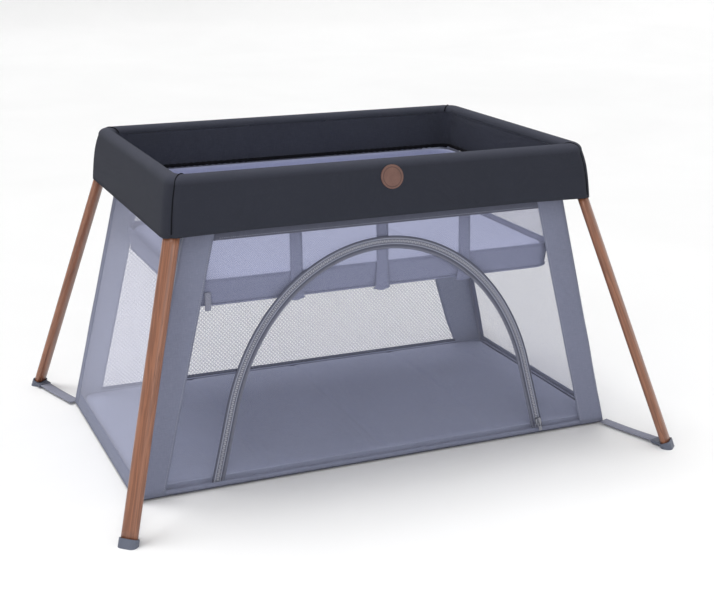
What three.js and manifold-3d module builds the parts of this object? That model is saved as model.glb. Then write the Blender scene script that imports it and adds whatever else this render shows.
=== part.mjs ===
// Folding playpen: padded rim on a folding frame, four splayed legs, a netting tub with an arch
// zip door, a floor mattress and a hanging bassinet insert.
// Millimetres, +Z up. X runs along the long side, the zip door faces -Y, the feet stand on Z = 0.
import * as THREE from "three";
import { mergeVertices } from "three/addons/utils/BufferGeometryUtils.js";
import Module from "manifold-3d";

const wasm = await Module();
wasm.setup();

// ---------- driving dimensions ----------
const GAP = 0.3; // between two solids that touch
const CUT_PAST = 1; // how far a cutting solid passes the face it cuts
const RIM_LENGTH = 871; // between the end rails' centre lines
const RIM_WIDTH = 585; // between the side rails' centre lines
const RAIL_Z = 628;
const RAIL_RADIUS = 10;
const RAIL_WALL = 1.5;
const RAIL_SIDES = 20;

// padded cover: an inverted channel over the rails
const COVER_CROWN_RADIUS = 16;
const COVER_CROWN_RISE = 6; // crown arc's centre above the rail's centre
const COVER_WALL = 2;
const PROFILE_STEPS = [5, 8, 1]; // steps along the outer face, the crown and the inner face
const HEM_Z = 543;
const HEM_FLARE = 31; // hem outside the rail's centre line
const COVER_BULGE = [26, 600]; // control point of the outer face: offset from the rail, height
const INNER_HEM_Z = 555;
const COVER_CORNER_RADIUS = 26;
const COVER_CORNER_GROWTH = 0.1; // corner radius gained per millimetre of offset
const CORNER_STEPS = 5;

// centre hub on each side rail
const HUB_PIVOT_X = 64;
const HUB_PIVOT_Z = 556;
const HUB_OVERHANG = 16; // cheek past the pivot, along X
const HUB_BOTTOM_Z = 546;
const HUB_TOP_Z = 638;
const HUB_CORNER_RADIUS = 10;
const HUB_CHEEK = 4.5;
const HUB_WEB_HALF_LENGTH = 40;
const EAR_THICKNESS = 10;
const EAR_RADIUS = 12;
const EAR_CLEARANCE = 0.5;
const HUB_PIN_RADIUS = 5;
const RAIL_END_SETBACK = 32; // rail's inner end past the hub pivot, along X
const COLLAR_SHOWING = 2; // collar between the ear and the rail's end
const SPIGOT_DEPTH = 30;
const BRIDGE_HALF_LENGTH = 60; // cover piece over each hub

// lock button under each hub
const BUTTON_RADIUS = 7;
const BUTTON_HEIGHT = 20;
const BUTTON_PROUD = 4;
const BUTTON_BORE_DEPTH = 22;

// corner housing
const SLEEVE_RADIUS = 13;
const SLEEVE_LENGTH = 50;
const SLEEVE_CLEARANCE = 1.1; // inside the cover's corner
const SOCKET_START = 14; // rail's end inside the sleeve, from the corner

// legs
const FOOT_SPLAY_X = 159.5; // foot outside the rim's centre line
const FOOT_SPLAY_Y = 170.5;
const LEG_HEM_CLEARANCE = 2.8; // inside the cover's corner, at the hem
const LEG_PIVOT_Z = 570;
const LEG_WIDTH = 34; // across the splay
const LEG_THICKNESS = 20; // along the splay
const LEG_CORNER_RADIUS = 8;
const UPPER_LEG_INBOARD = 90; // folded foot of the leg that folds first, towards the middle
const UPPER_LEG_RISE = 14; // and above its pivot
const LOWER_LEG_OUTBOARD = 30; // folded foot of the leg that folds second, away from the middle
const LOWER_LEG_DROP = 46; // and below its pivot
const KNUCKLE_RADIUS = 11;
const KNUCKLE_HALF_WIDTH = 8;
const CLEVIS_CLEARANCE = 0.4;
const CLEVIS_EAR = 4;
const CLEVIS_HEAD_START = 20; // solid head of the clevis, above the pivot along the leg's line
const LEG_PIN_RADIUS = 4;
const LEG_TOP = 34; // leg's upper end below the pivot
const COLLAR_TOP = 20; // knuckle's collar below the pivot
const LEG_SPIGOT_RADIUS = 6;
const LEG_SPIGOT_DEPTH = 26;

// feet and straps
const FOOT_HEIGHT = 14;
const FOOT_WALL = 2.4;
const LEG_ABOVE_FLOOR = 6;
const LUG_LENGTH = 16;
const LUG_WIDTH = 30;
const LUG_THICKNESS = 6;
const LUG_Z = 10;
const STRAP_WIDTH = 25;
const STRAP_THICKNESS = 1.6;
const STRAP_START_Z = 6;

// tub
const TUB_SETBACK_X = 7.5; // upper edge of the end walls inside the cover
const TUB_SETBACK_Y = 2.5; // upper edge of the front and back walls inside the cover
const TUB_FLARE_X = 128; // lower edge outside the upper edge
const TUB_FLARE_Y = 18;
const TUB_BOTTOM_Z = 6;
const TUB_TOP_Z = 552;
const WALL = 2;
const FLOOR_THICKNESS = 2.7;
const MATTRESS_THICKNESS = 28;
const MATTRESS_MARGIN = 8;
const MATTRESS_CORNER = 24;

// arch zip door, in the front wall's own plane; heights above the wall's lower edge
const ARCH_FOOT_MARGIN = 157; // from the tub's lower corner
const ARCH_MARGIN = 180; // elliptical part's half width, inside the tub's lower corner
const ARCH_FOOT_HEIGHT = 11;
const ARCH_RISE = 440; // half height of the elliptical part
const ARCH_CENTRE_HEIGHT = 41;
const ARCH_START = THREE.MathUtils.degToRad(16);
const ARCH_SEGMENTS = 20;
const TRACK_WIDTH = 22;
const TRACK_THICKNESS = 3.5;
const ZIP_GAP = 0.6;
const SLIDER = [13, 16, 6]; // across the track, along it, outwards
const SLIDER_CORNER = 3;
const PULL_CORNER = 1;
const SLIDER_HEIGHT = 27; // slider's middle above the wall's lower edge
const PULL_SIZE = [7, 19, 1.8];
const BAIL = [2, 12, 4.4]; // loop on the slider that holds the pull: across, along, out
const BAIL_BAR = 1.2;
const PULL_HINGE = [-3.2, 1.6]; // below the slider's middle, and out from its face
const PULL_EYE = [4, 7];

// bassinet insert
const TRAY_CLEARANCE_X = 30; // tray inside the end walls
const TRAY_CLEARANCE_Y = 6; // tray inside the front and back walls
const BASKET_TOP_CLEARANCE = 6; // upper edge inside the walls
const BASKET_BOTTOM_Z = 378;
const TRAY_TOP_Z = 432;
const BASKET_TOP_Z = 549;
const BASKET_WALL = 2;
const BASKET_CORNER = 45;
const TRAY_EDGE_ROUND = 8;
const PAD_CLEARANCE = 3;

// badge on the front of the cover
const BADGE_RADIUS = 24;
const BADGE_THICKNESS = 2.4;
const BADGE_Z = 616;

// ---------- sizes that follow ----------
const rimHalfX = RIM_LENGTH / 2;
const rimHalfY = RIM_WIDTH / 2;
const footX = rimHalfX + FOOT_SPLAY_X;
const footY = rimHalfY + FOOT_SPLAY_Y;

// A rounded corner's diagonal point lies this share of its radius inside the square corner.
const CORNER_SHARE = 1 - Math.SQRT1_2;

function coverCornerRadius(offset) {
  return COVER_CORNER_RADIUS + COVER_CORNER_GROWTH * offset;
}

// The leg leaves the cover just inside the hem's rounded corner and just inside its straight sides.
const hemInside = HEM_FLARE - COVER_WALL;
const legSectionSpread = (LEG_WIDTH + LEG_THICKNESS) / 2 - 2 * LEG_CORNER_RADIUS;
const legSideReach = legSectionSpread * Math.SQRT1_2 + LEG_CORNER_RADIUS;
const hemDiagonal = hemInside - CORNER_SHARE * coverCornerRadius(HEM_FLARE);
const legDiagonalReach = (LEG_THICKNESS / 2) * Math.SQRT1_2;
const legOffset = Math.min(hemDiagonal - legDiagonalReach, hemInside - legSideReach) - LEG_HEM_CLEARANCE;
const legRun = LEG_PIVOT_Z / HEM_Z;
const legPivotX = footX - (footX - rimHalfX - legOffset) * legRun;
const legPivotY = footY - (footY - rimHalfY - legOffset) * legRun;

// The corner sleeves' bevel keeps inside the crown's rounded corner at the sleeves' top.
const crownInside = COVER_CROWN_RADIUS - COVER_WALL;
const crownOffset = Math.sqrt(crownInside ** 2 - (SLEEVE_RADIUS - COVER_CROWN_RISE) ** 2);
const cornerBevel = crownOffset - CORNER_SHARE * coverCornerRadius(crownOffset) - SLEEVE_CLEARANCE;
const sleeveOverrun = 2 * cornerBevel;

const tubTopX = rimHalfX - COVER_CROWN_RADIUS - TUB_SETBACK_X;
const tubTopY = rimHalfY - COVER_CROWN_RADIUS - TUB_SETBACK_Y;
const tubBottomX = tubTopX + TUB_FLARE_X;
const tubBottomY = tubTopY + TUB_FLARE_Y;
const archFootHalf = tubBottomX - ARCH_FOOT_MARGIN;
const archHalf = tubBottomX - ARCH_MARGIN;

// Half size of the tub's inside at a height.
function tubInside(bottom, top, z) {
  const share = (z - TUB_BOTTOM_Z) / (TUB_TOP_Z - TUB_BOTTOM_Z);
  return bottom + (top - bottom) * share - WALL;
}
const trayX = tubInside(tubBottomX, tubTopX, TRAY_TOP_Z) - TRAY_CLEARANCE_X;
const trayY = tubInside(tubBottomY, tubTopY, TRAY_TOP_Z) - TRAY_CLEARANCE_Y;
const basketTopX = tubTopX - WALL - BASKET_TOP_CLEARANCE;
const basketTopY = tubTopY - WALL - BASKET_TOP_CLEARANCE;

// ---------- materials ----------
function finish(color, roughness, metalness = 0) {
  return new THREE.MeshStandardMaterial({ color, roughness, metalness });
}
const charcoal = finish(0x34363e, 0.85);
const greyFabric = finish(0x7d8096, 0.9);
const netting = finish(0xb9bac8, 0.9);
const walnut = finish(0x96603c, 0.45);
const greyPlastic = finish(0x5c6476, 0.5);
const blackPlastic = finish(0x24262b, 0.5);
const steel = finish(0x9a9ca0, 0.35, 0.9);
const zincAlloy = finish(0x8a8d92, 0.4, 0.8);
const tanLeather = finish(0x8a5a44, 0.6);
const padFabric = finish(0xa0a3c3, 0.9);

// ---------- solids ----------
const playpen = new THREE.Group();

function addPiece(name, geometry, material, parent = playpen) {
  const mesh = new THREE.Mesh(geometry, material);
  mesh.name = name;
  parent.add(mesh);
  return mesh;
}

function toSolid(geometry, matrix = new THREE.Matrix4()) {
  const bare = new THREE.BufferGeometry();
  const source = geometry.index ? geometry.toNonIndexed() : geometry;
  bare.setAttribute("position", source.getAttribute("position").clone());
  bare.applyMatrix4(matrix);
  const merged = mergeVertices(bare, 1e-3);
  const mesh = new wasm.Mesh({
    numProp: 3,
    vertProperties: merged.attributes.position.array,
    triVerts: new Uint32Array(merged.index.array),
  });
  return new wasm.Manifold(mesh);
}

function toGeometry(solid) {
  const mesh = solid.getMesh();
  const geometry = new THREE.BufferGeometry();
  geometry.setAttribute("position", new THREE.BufferAttribute(mesh.vertProperties, 3));
  geometry.setIndex(new THREE.BufferAttribute(mesh.triVerts, 1));
  return geometry;
}

function placed(position, rotation = [0, 0, 0]) {
  const turn = new THREE.Quaternion().setFromEuler(new THREE.Euler(...rotation));
  return new THREE.Matrix4().compose(new THREE.Vector3(...position), turn, new THREE.Vector3(1, 1, 1));
}

// A round bar from one point to another.
function bar(from, to, radius, sides = RAIL_SIDES) {
  const start = new THREE.Vector3(...from);
  const along = new THREE.Vector3(...to).sub(start);
  const geometry = new THREE.CylinderGeometry(radius, radius, along.length(), sides);
  geometry.translate(0, along.length() / 2, 0);
  const turn = new THREE.Quaternion().setFromUnitVectors(
    new THREE.Vector3(0, 1, 0),
    along.clone().normalize(),
  );
  geometry.applyQuaternion(turn);
  return toSolid(geometry.translate(...start.toArray()));
}

function block(low, high, matrix) {
  const size = high.map((value, i) => value - low[i]);
  const middle = high.map((value, i) => (value + low[i]) / 2);
  return toSolid(new THREE.BoxGeometry(...size).translate(...middle), matrix);
}

// A shape in XY extruded from z = from to z = to.
function slab(shape, from, to, curveSegments = 6) {
  const settings = { depth: to - from, bevelEnabled: false, curveSegments };
  return new THREE.ExtrudeGeometry(shape, settings).translate(0, 0, from);
}

function roundedRectangle(halfWidth, halfHeight, radius) {
  const shape = new THREE.Shape();
  const x = halfWidth - radius;
  const y = halfHeight - radius;
  shape.absarc(x, y, radius, 0, Math.PI / 2);
  shape.absarc(-x, y, radius, Math.PI / 2, Math.PI);
  shape.absarc(-x, -y, radius, Math.PI, 1.5 * Math.PI);
  shape.absarc(x, -y, radius, 1.5 * Math.PI, 2 * Math.PI);
  return shape;
}

// Two equal discs joined by their tangents.
function linkShape(from, to, radius) {
  const start = new THREE.Vector2(...from);
  const end = new THREE.Vector2(...to);
  const heading = end.clone().sub(start).angle();
  const shape = new THREE.Shape();
  shape.absarc(end.x, end.y, radius, heading - Math.PI / 2, heading + Math.PI / 2);
  shape.absarc(start.x, start.y, radius, heading + Math.PI / 2, heading + 1.5 * Math.PI);
  return shape;
}

// Joins rings of equal count into one closed skin; caps lists the first ring's triangles.
function skin(rings, caps) {
  const count = rings[0].length;
  const triangles = [];
  for (let ring = 0; ring + 1 < rings.length; ring += 1) {
    for (let i = 0; i < count; i += 1) {
      const a = ring * count + i;
      const b = ring * count + ((i + 1) % count);
      triangles.push(a, b, b + count, a, b + count, a + count);
    }
  }
  const last = (rings.length - 1) * count;
  for (const [a, b, c] of caps) {
    triangles.push(a, c, b, last + a, last + b, last + c);
  }
  const geometry = new THREE.BufferGeometry().setFromPoints(rings.flat());
  geometry.setIndex(triangles);
  return geometry;
}

function fanCaps(count) {
  return Array.from({ length: count - 2 }, (_, i) => [0, i + 1, i + 2]);
}

// ---------- padded cover ----------
// The cover's cross-section as [offset outside the rail's centre line, height], from hem to inner hem.
function coverProfile(inset) {
  const radius = COVER_CROWN_RADIUS - inset;
  const centreZ = RAIL_Z + COVER_CROWN_RISE;
  const path = new THREE.Path();
  path.moveTo(HEM_FLARE - inset, HEM_Z);
  path.quadraticCurveTo(COVER_BULGE[0] - inset, COVER_BULGE[1], radius, centreZ);
  path.absarc(0, centreZ, radius, 0, Math.PI);
  path.lineTo(-radius, INNER_HEM_Z);
  return path.curves.flatMap((curve, i) => {
    const steps = PROFILE_STEPS[i];
    const points = curve.getPoints(steps);
    return i === 0 ? points : points.slice(1);
  });
}

// Point of the rim's rounded rectangle at an offset: on a side at x, or round a corner by an angle.
function rimPoint(offset, z, station) {
  const radius = coverCornerRadius(offset);
  const x = rimHalfX + offset - radius;
  const y = rimHalfY + offset - radius;
  if (station.x !== undefined) {
    return new THREE.Vector3(station.x, station.side * (y + radius), z);
  }
  const cornerX = x + radius * Math.cos(station.angle);
  const cornerY = station.side * y + radius * Math.sin(station.angle);
  return new THREE.Vector3(cornerX, cornerY, z);
}

function coverStations(startX) {
  const steps = Array.from({ length: CORNER_STEPS + 1 }, (_, i) => (i / CORNER_STEPS) * (Math.PI / 2));
  return [
    { side: -1, x: startX },
    ...steps.map((step) => ({ side: -1, angle: step - Math.PI / 2 })),
    ...steps.map((step) => ({ side: 1, angle: step })),
    { side: 1, x: startX },
  ];
}

function coverGeometry(stations) {
  const inner = coverProfile(COVER_WALL);
  const section = [...inner, ...coverProfile(0).reverse()];
  const rings = stations.map((station) => section.map((p) => rimPoint(p.x, p.y, station)));
  const caps = [];
  for (let i = 0; i + 1 < inner.length; i += 1) {
    const across = section.length - 1 - i;
    caps.push([i, i + 1, across - 1], [i, across - 1, across]);
  }
  return skin(rings, caps);
}

function addCovers() {
  const startX = BRIDGE_HALF_LENGTH + GAP;
  const half = coverGeometry(coverStations(startX));
  addPiece("right_rim_cover", half, charcoal);
  addPiece("left_rim_cover", half, charcoal).rotation.z = Math.PI;
  const front = [-BRIDGE_HALF_LENGTH, BRIDGE_HALF_LENGTH].map((x) => ({ side: -1, x }));
  const bridge = coverGeometry(front);
  addPiece("front_cover_bridge", bridge, charcoal);
  addPiece("back_cover_bridge", bridge, charcoal).rotation.z = Math.PI;
}

// ---------- centre hubs and side rails ----------
const railInnerX = HUB_PIVOT_X + RAIL_END_SETBACK;
const earTopX = railInnerX - EAR_RADIUS - COLLAR_SHOWING;

// A solid drawn in XZ and extruded along Y about the side rail's centre line.
function sideSlab(shape, from, to) {
  const upright = placed([0, rimHalfY, 0], [Math.PI / 2, 0, 0]);
  return toSolid(slab(shape, from, to), upright);
}

function acrossRail(x, z, halfLength, radius) {
  return bar([x, rimHalfY - halfLength, z], [x, rimHalfY + halfLength, z], radius);
}

function hubSolid() {
  const halfLength = HUB_PIVOT_X + HUB_OVERHANG;
  const middleZ = (HUB_TOP_Z + HUB_BOTTOM_Z) / 2;
  const cheekShape = roundedRectangle(halfLength, (HUB_TOP_Z - HUB_BOTTOM_Z) / 2, HUB_CORNER_RADIUS);
  const inside = EAR_THICKNESS / 2 + EAR_CLEARANCE;
  const outside = inside + HUB_CHEEK;
  const upright = placed([0, rimHalfY, middleZ], [Math.PI / 2, 0, 0]);
  let hub = toSolid(slab(cheekShape, -outside, outside), upright);
  for (const side of [-1, 1]) {
    const near = side * HUB_WEB_HALF_LENGTH;
    const far = side * (halfLength + 1);
    const low = [Math.min(near, far), rimHalfY - inside, HUB_BOTTOM_Z - 1];
    const high = [Math.max(near, far), rimHalfY + inside, HUB_TOP_Z + 1];
    hub = hub.subtract(block(low, high));
    const bore = acrossRail(side * HUB_PIVOT_X, HUB_PIVOT_Z, outside + 1, HUB_PIN_RADIUS + GAP);
    hub = hub.subtract(bore);
  }
  const boreTop = HUB_BOTTOM_Z + BUTTON_BORE_DEPTH;
  const buttonBore = bar([0, rimHalfY, HUB_BOTTOM_Z - 1], [0, rimHalfY, boreTop], BUTTON_RADIUS + GAP);
  return hub.subtract(buttonBore);
}

// Plastic fitting in a side rail's inner end, with the ear that turns in the hub.
function hingeEarSolid() {
  const ear = linkShape([HUB_PIVOT_X, HUB_PIVOT_Z], [earTopX, RAIL_Z], EAR_RADIUS);
  const collarEnd = [railInnerX - GAP, rimHalfY, RAIL_Z];
  const spigotEnd = [railInnerX + SPIGOT_DEPTH, rimHalfY, RAIL_Z];
  const spigotRadius = RAIL_RADIUS - RAIL_WALL - GAP;
  return sideSlab(ear, -EAR_THICKNESS / 2, EAR_THICKNESS / 2)
    .add(bar([earTopX, rimHalfY, RAIL_Z], collarEnd, RAIL_RADIUS))
    .add(bar([earTopX, rimHalfY, RAIL_Z], spigotEnd, spigotRadius))
    .subtract(acrossRail(HUB_PIVOT_X, HUB_PIVOT_Z, EAR_THICKNESS, HUB_PIN_RADIUS + GAP));
}

function tubeGeometry(length) {
  const ring = new THREE.Shape().absarc(0, 0, RAIL_RADIUS, 0, 2 * Math.PI);
  ring.holes.push(new THREE.Path().absarc(0, 0, RAIL_RADIUS - RAIL_WALL, 0, 2 * Math.PI));
  const settings = { depth: length, bevelEnabled: false, curveSegments: RAIL_SIDES / 2 };
  return new THREE.ExtrudeGeometry(ring, settings);
}

function addHubPieces(side, label) {
  const turned = new THREE.Group();
  turned.rotation.z = side > 0 ? 0 : Math.PI;
  playpen.add(turned);
  addPiece(label + "_hub", toGeometry(hubSolid()), blackPlastic, turned);
  const reach = EAR_THICKNESS / 2 + EAR_CLEARANCE + HUB_CHEEK;
  for (const end of [-1, 1]) {
    const worldSide = end * side > 0 ? "right" : "left";
    const pin = acrossRail(end * HUB_PIVOT_X, HUB_PIVOT_Z, reach, HUB_PIN_RADIUS);
    addPiece([label, worldSide, "hub_pin"].join("_"), toGeometry(pin), steel, turned);
  }
  const buttonBottom = HUB_BOTTOM_Z - BUTTON_PROUD;
  const button = bar(
    [0, rimHalfY, buttonBottom],
    [0, rimHalfY, buttonBottom + BUTTON_HEIGHT],
    BUTTON_RADIUS,
  );
  addPiece(label + "_lock_button", toGeometry(button), greyPlastic, turned);
}

// ---------- corners and legs ----------
// The two ends are half-turn copies, so each end folds one leg first and the other under it.
const CORNERS = [
  { label: "right_back", end: 1, side: 1, foldsFirst: true },
  { label: "right_front", end: 1, side: -1, foldsFirst: false },
  { label: "left_front", end: -1, side: -1, foldsFirst: true },
  { label: "left_back", end: -1, side: 1, foldsFirst: false },
];

function legFrame(corner) {
  const { end, side, foldsFirst } = corner;
  const pivot = new THREE.Vector3(end * legPivotX, side * legPivotY, LEG_PIVOT_Z);
  const foot = new THREE.Vector3(end * footX, side * footY, 0);
  const down = foot.clone().sub(pivot);
  const length = down.length();
  down.normalize();
  const inboard = foldsFirst ? UPPER_LEG_INBOARD : -LOWER_LEG_OUTBOARD;
  const rise = foldsFirst ? UPPER_LEG_RISE : -LOWER_LEG_DROP;
  const folded = new THREE.Vector3(-end * inboard, -side * length, rise).normalize();
  const hinge = down.clone().cross(folded).normalize();
  const up = down.clone().negate();
  const turn = new THREE.Matrix4().makeBasis(hinge, up.clone().cross(hinge), up);
  const across = new THREE.Vector3(-side * (footY - legPivotY), end * (footX - legPivotX), 0);
  across.normalize().applyMatrix4(turn.clone().transpose());
  const sectionAngle = Math.atan2(across.y, across.x);
  return { matrix: turn.setPosition(pivot), length, sectionAngle };
}

// The leg's section, grown by a margin, as a prism between two heights of the leg's own frame.
function legPrism(frame, from, to, margin) {
  const halfWidth = LEG_WIDTH / 2 + margin;
  const halfThickness = LEG_THICKNESS / 2 + margin;
  const section = roundedRectangle(halfWidth, halfThickness, LEG_CORNER_RADIUS + margin);
  return toSolid(slab(section, from, to, 4), placed([0, 0, 0], [0, 0, frame.sectionAngle]));
}

function housingSolid(corner, frame) {
  const { end, side } = corner;
  const x = end * rimHalfX;
  const y = side * rimHalfY;
  const overX = x + end * sleeveOverrun;
  const overY = y + side * sleeveOverrun;
  const sideSleeve = bar([overX, y, RAIL_Z], [x - end * SLEEVE_LENGTH, y, RAIL_Z], SLEEVE_RADIUS);
  const endSleeve = bar([x, overY, RAIL_Z], [x, y - side * SLEEVE_LENGTH, RAIL_Z], SLEEVE_RADIUS);
  const inside = KNUCKLE_HALF_WIDTH + CLEVIS_CLEARANCE;
  const outside = inside + CLEVIS_EAR;
  const head = new THREE.Vector3(x, y, RAIL_Z).applyMatrix4(frame.matrix.clone().invert());
  const earShape = linkShape([0, 0], [head.y, head.z], KNUCKLE_RADIUS);
  const standing = new THREE.Matrix4().makeBasis(
    new THREE.Vector3(0, 1, 0),
    new THREE.Vector3(0, 0, 1),
    new THREE.Vector3(1, 0, 0),
  );
  const slot = block(
    [-inside, -KNUCKLE_RADIUS - CUT_PAST, -KNUCKLE_RADIUS - CUT_PAST],
    [inside, KNUCKLE_RADIUS + CUT_PAST, CLEVIS_HEAD_START],
  );
  const boreEnd = outside + CUT_PAST;
  const pinBore = bar([-boreEnd, 0, 0], [boreEnd, 0, 0], LEG_PIN_RADIUS + GAP);
  const clevis = toSolid(slab(earShape, -outside, outside), standing)
    .subtract(slot)
    .subtract(pinBore)
    .transform(frame.matrix.elements);
  const socketX = x - end * SOCKET_START;
  const socketY = y - side * SOCKET_START;
  const boreRadius = RAIL_RADIUS + GAP;
  const bevelDistance = (rimHalfX + rimHalfY + 2 * cornerBevel) / Math.SQRT2;
  const bevelTurn = placed([0, 0, 0], [0, 0, Math.atan2(side, end)]);
  const bevelLow = [bevelDistance, -RIM_LENGTH, RAIL_Z - SLEEVE_RADIUS];
  const bevelHigh = [bevelDistance + SLEEVE_LENGTH, RIM_LENGTH, RAIL_Z + SLEEVE_RADIUS + CUT_PAST];
  const bevel = block(bevelLow, bevelHigh, bevelTurn);
  return sideSleeve
    .add(endSleeve)
    .add(clevis)
    .subtract(bar([socketX, y, RAIL_Z], [0, y, RAIL_Z], boreRadius))
    .subtract(bar([x, socketY, RAIL_Z], [x, 0, RAIL_Z], boreRadius))
    .subtract(bevel);
}

function knuckleSolid(frame) {
  const width = KNUCKLE_HALF_WIDTH;
  const disc = bar([-width, 0, 0], [width, 0, 0], KNUCKLE_RADIUS);
  const cut = width + CUT_PAST;
  const shank = block([-width, -KNUCKLE_RADIUS, -COLLAR_TOP - CUT_PAST], [width, KNUCKLE_RADIUS, 0]);
  const shaped = shank.subtract(bar([-cut, 0, 0], [cut, 0, 0], KNUCKLE_RADIUS - CUT_PAST));
  const collar = legPrism(frame, -LEG_TOP + GAP, -COLLAR_TOP, 0);
  const spigotEnd = [0, 0, -LEG_TOP - LEG_SPIGOT_DEPTH];
  return disc
    .add(shaped)
    .add(collar)
    .add(bar([0, 0, -LEG_TOP + CUT_PAST], spigotEnd, LEG_SPIGOT_RADIUS))
    .subtract(bar([-cut, 0, 0], [cut, 0, 0], LEG_PIN_RADIUS + GAP));
}

function legSolid(frame) {
  const boreEnd = [0, 0, -LEG_TOP - LEG_SPIGOT_DEPTH - 2 * CUT_PAST];
  const bore = bar([0, 0, -LEG_TOP + CUT_PAST], boreEnd, LEG_SPIGOT_RADIUS + GAP);
  return legPrism(frame, -frame.length + LEG_ABOVE_FLOOR, -LEG_TOP, 0).subtract(bore);
}

// Horizontal heading from the foot to the tub's lower corner, for a corner in the first quadrant.
const strapHeading = Math.atan2(tubBottomY - footY, tubBottomX - footX);
const strapSpan = Math.hypot(tubBottomY - footY, tubBottomX - footX);

// Frame at the foot with X along the strap towards the tub.
function strapFrame(corner) {
  const { end, side } = corner;
  const headingX = end * Math.cos(strapHeading);
  const headingY = side * Math.sin(strapHeading);
  return placed([end * footX, side * footY, 0], [0, 0, Math.atan2(headingY, headingX)]);
}

function footSolid(corner, frame) {
  const socket = legPrism(frame, -frame.length + LEG_ABOVE_FLOOR - GAP, 0, GAP);
  const bodyTop = -frame.length + FOOT_HEIGHT;
  const body = legPrism(frame, -frame.length - FOOT_HEIGHT, bodyTop, FOOT_WALL);
  const lugLow = [0, -LUG_WIDTH / 2, LUG_Z - LUG_THICKNESS];
  const lugEnd = LEG_WIDTH / 2 + LUG_LENGTH;
  const lug = block(lugLow, [lugEnd, LUG_WIDTH / 2, LUG_Z], strapFrame(corner));
  const lowX = footX + LEG_WIDTH * 2;
  const lowY = footY + LEG_WIDTH * 2;
  const ground = block([-lowX, -lowY, -FOOT_HEIGHT * 3], [lowX, lowY, 0]);
  return body
    .transform(frame.matrix.elements)
    .add(lug)
    .subtract(socket.transform(frame.matrix.elements))
    .subtract(ground);
}

function strapSolid(corner) {
  const start = LEG_WIDTH / 2 + LUG_LENGTH + GAP;
  const end = strapSpan - 1;
  const length = end - start;
  const drop = LUG_Z - LUG_THICKNESS / 2 - STRAP_START_Z;
  const half = STRAP_THICKNESS / 2;
  const tilt = placed([start, 0, LUG_Z - LUG_THICKNESS / 2], [0, Math.atan2(drop, length), 0]);
  const matrix = strapFrame(corner).multiply(tilt);
  return block([0, -STRAP_WIDTH / 2, -half], [length, STRAP_WIDTH / 2, half], matrix);
}

function addCorner(corner) {
  const frame = legFrame(corner);
  const legGroup = new THREE.Group();
  legGroup.applyMatrix4(frame.matrix);
  playpen.add(legGroup);
  const { label } = corner;
  addPiece(label + "_corner_housing", toGeometry(housingSolid(corner, frame)), blackPlastic);
  addPiece(label + "_leg_knuckle", toGeometry(knuckleSolid(frame)), blackPlastic, legGroup);
  addPiece(label + "_leg", toGeometry(legSolid(frame)), walnut, legGroup);
  const reach = KNUCKLE_HALF_WIDTH + CLEVIS_CLEARANCE + CLEVIS_EAR;
  const pin = bar([-reach, 0, 0], [reach, 0, 0], LEG_PIN_RADIUS);
  addPiece(label + "_leg_pin", toGeometry(pin), steel, legGroup);
  addPiece(label + "_foot_cap", toGeometry(footSolid(corner, frame)), greyPlastic);
  addPiece(label + "_foot_strap", toGeometry(strapSolid(corner)), greyFabric);
}

function addRails() {
  const railLength = rimHalfX - SOCKET_START - GAP - railInnerX;
  const endLength = RIM_WIDTH - 2 * (SOCKET_START + GAP);
  for (const { label, end, side } of CORNERS) {
    const rail = addPiece(label + "_rail", tubeGeometry(railLength), steel);
    rail.rotation.y = (end * Math.PI) / 2;
    rail.position.set(end * railInnerX, side * rimHalfY, RAIL_Z);
    const ear = addPiece(label + "_hinge_ear", toGeometry(hingeEarSolid()), blackPlastic);
    ear.rotation.z = end > 0 ? 0 : Math.PI;
    ear.position.y = end * side > 0 ? 0 : -end * RIM_WIDTH;
  }
  for (const [label, end] of [["right", 1], ["left", -1]]) {
    const rail = addPiece(label + "_end_rail", tubeGeometry(endLength), steel);
    rail.rotation.x = Math.PI / 2;
    rail.position.set(end * rimHalfX, endLength / 2, RAIL_Z);
  }
}

// ---------- tub ----------
// A wall's frame: X along its lower edge, Y up its slope, Z outwards; its inner face is Z = 0.
function wallFrame(bottom, top, quarterTurns) {
  const height = TUB_TOP_Z - TUB_BOTTOM_Z;
  const lean = Math.atan2(bottom - top, height);
  const frame = new THREE.Group();
  frame.rotation.set(Math.PI / 2 - lean, 0, (quarterTurns * Math.PI) / 2, "ZXY");
  const away = (quarterTurns - 1) * (Math.PI / 2);
  const distance = bottom - WALL;
  frame.position.set(distance * Math.cos(away), distance * Math.sin(away), TUB_BOTTOM_Z);
  playpen.add(frame);
  return { frame, length: Math.hypot(bottom - top, height) };
}

function wallShape(bottomHalf, topHalf, length) {
  const shape = new THREE.Shape();
  shape.moveTo(-bottomHalf, 0);
  shape.lineTo(bottomHalf, 0);
  shape.lineTo(topHalf, length);
  shape.lineTo(-topHalf, length);
  return shape;
}

// The door's outline, moved inwards by an inset: straight leaning feet and an elliptical top.
function archOutline(target, inset) {
  const footHalf = archFootHalf - inset;
  const half = archHalf - inset;
  const rise = ARCH_RISE - inset;
  const shoulderHeight = ARCH_CENTRE_HEIGHT + rise * Math.sin(ARCH_START);
  target.moveTo(footHalf, ARCH_FOOT_HEIGHT);
  target.lineTo(half * Math.cos(ARCH_START), shoulderHeight);
  target.absellipse(0, ARCH_CENTRE_HEIGHT, half, rise, ARCH_START, Math.PI - ARCH_START);
  target.lineTo(-footHalf, ARCH_FOOT_HEIGHT);
  return target;
}

// The band between two insets of the outline, open at its feet.
function archBand(outerInset, innerInset) {
  const outer = archOutline(new THREE.Path(), outerInset).getPoints(ARCH_SEGMENTS);
  const inner = archOutline(new THREE.Path(), innerInset).getPoints(ARCH_SEGMENTS);
  return new THREE.Shape([...outer, ...inner.reverse()]);
}

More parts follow.
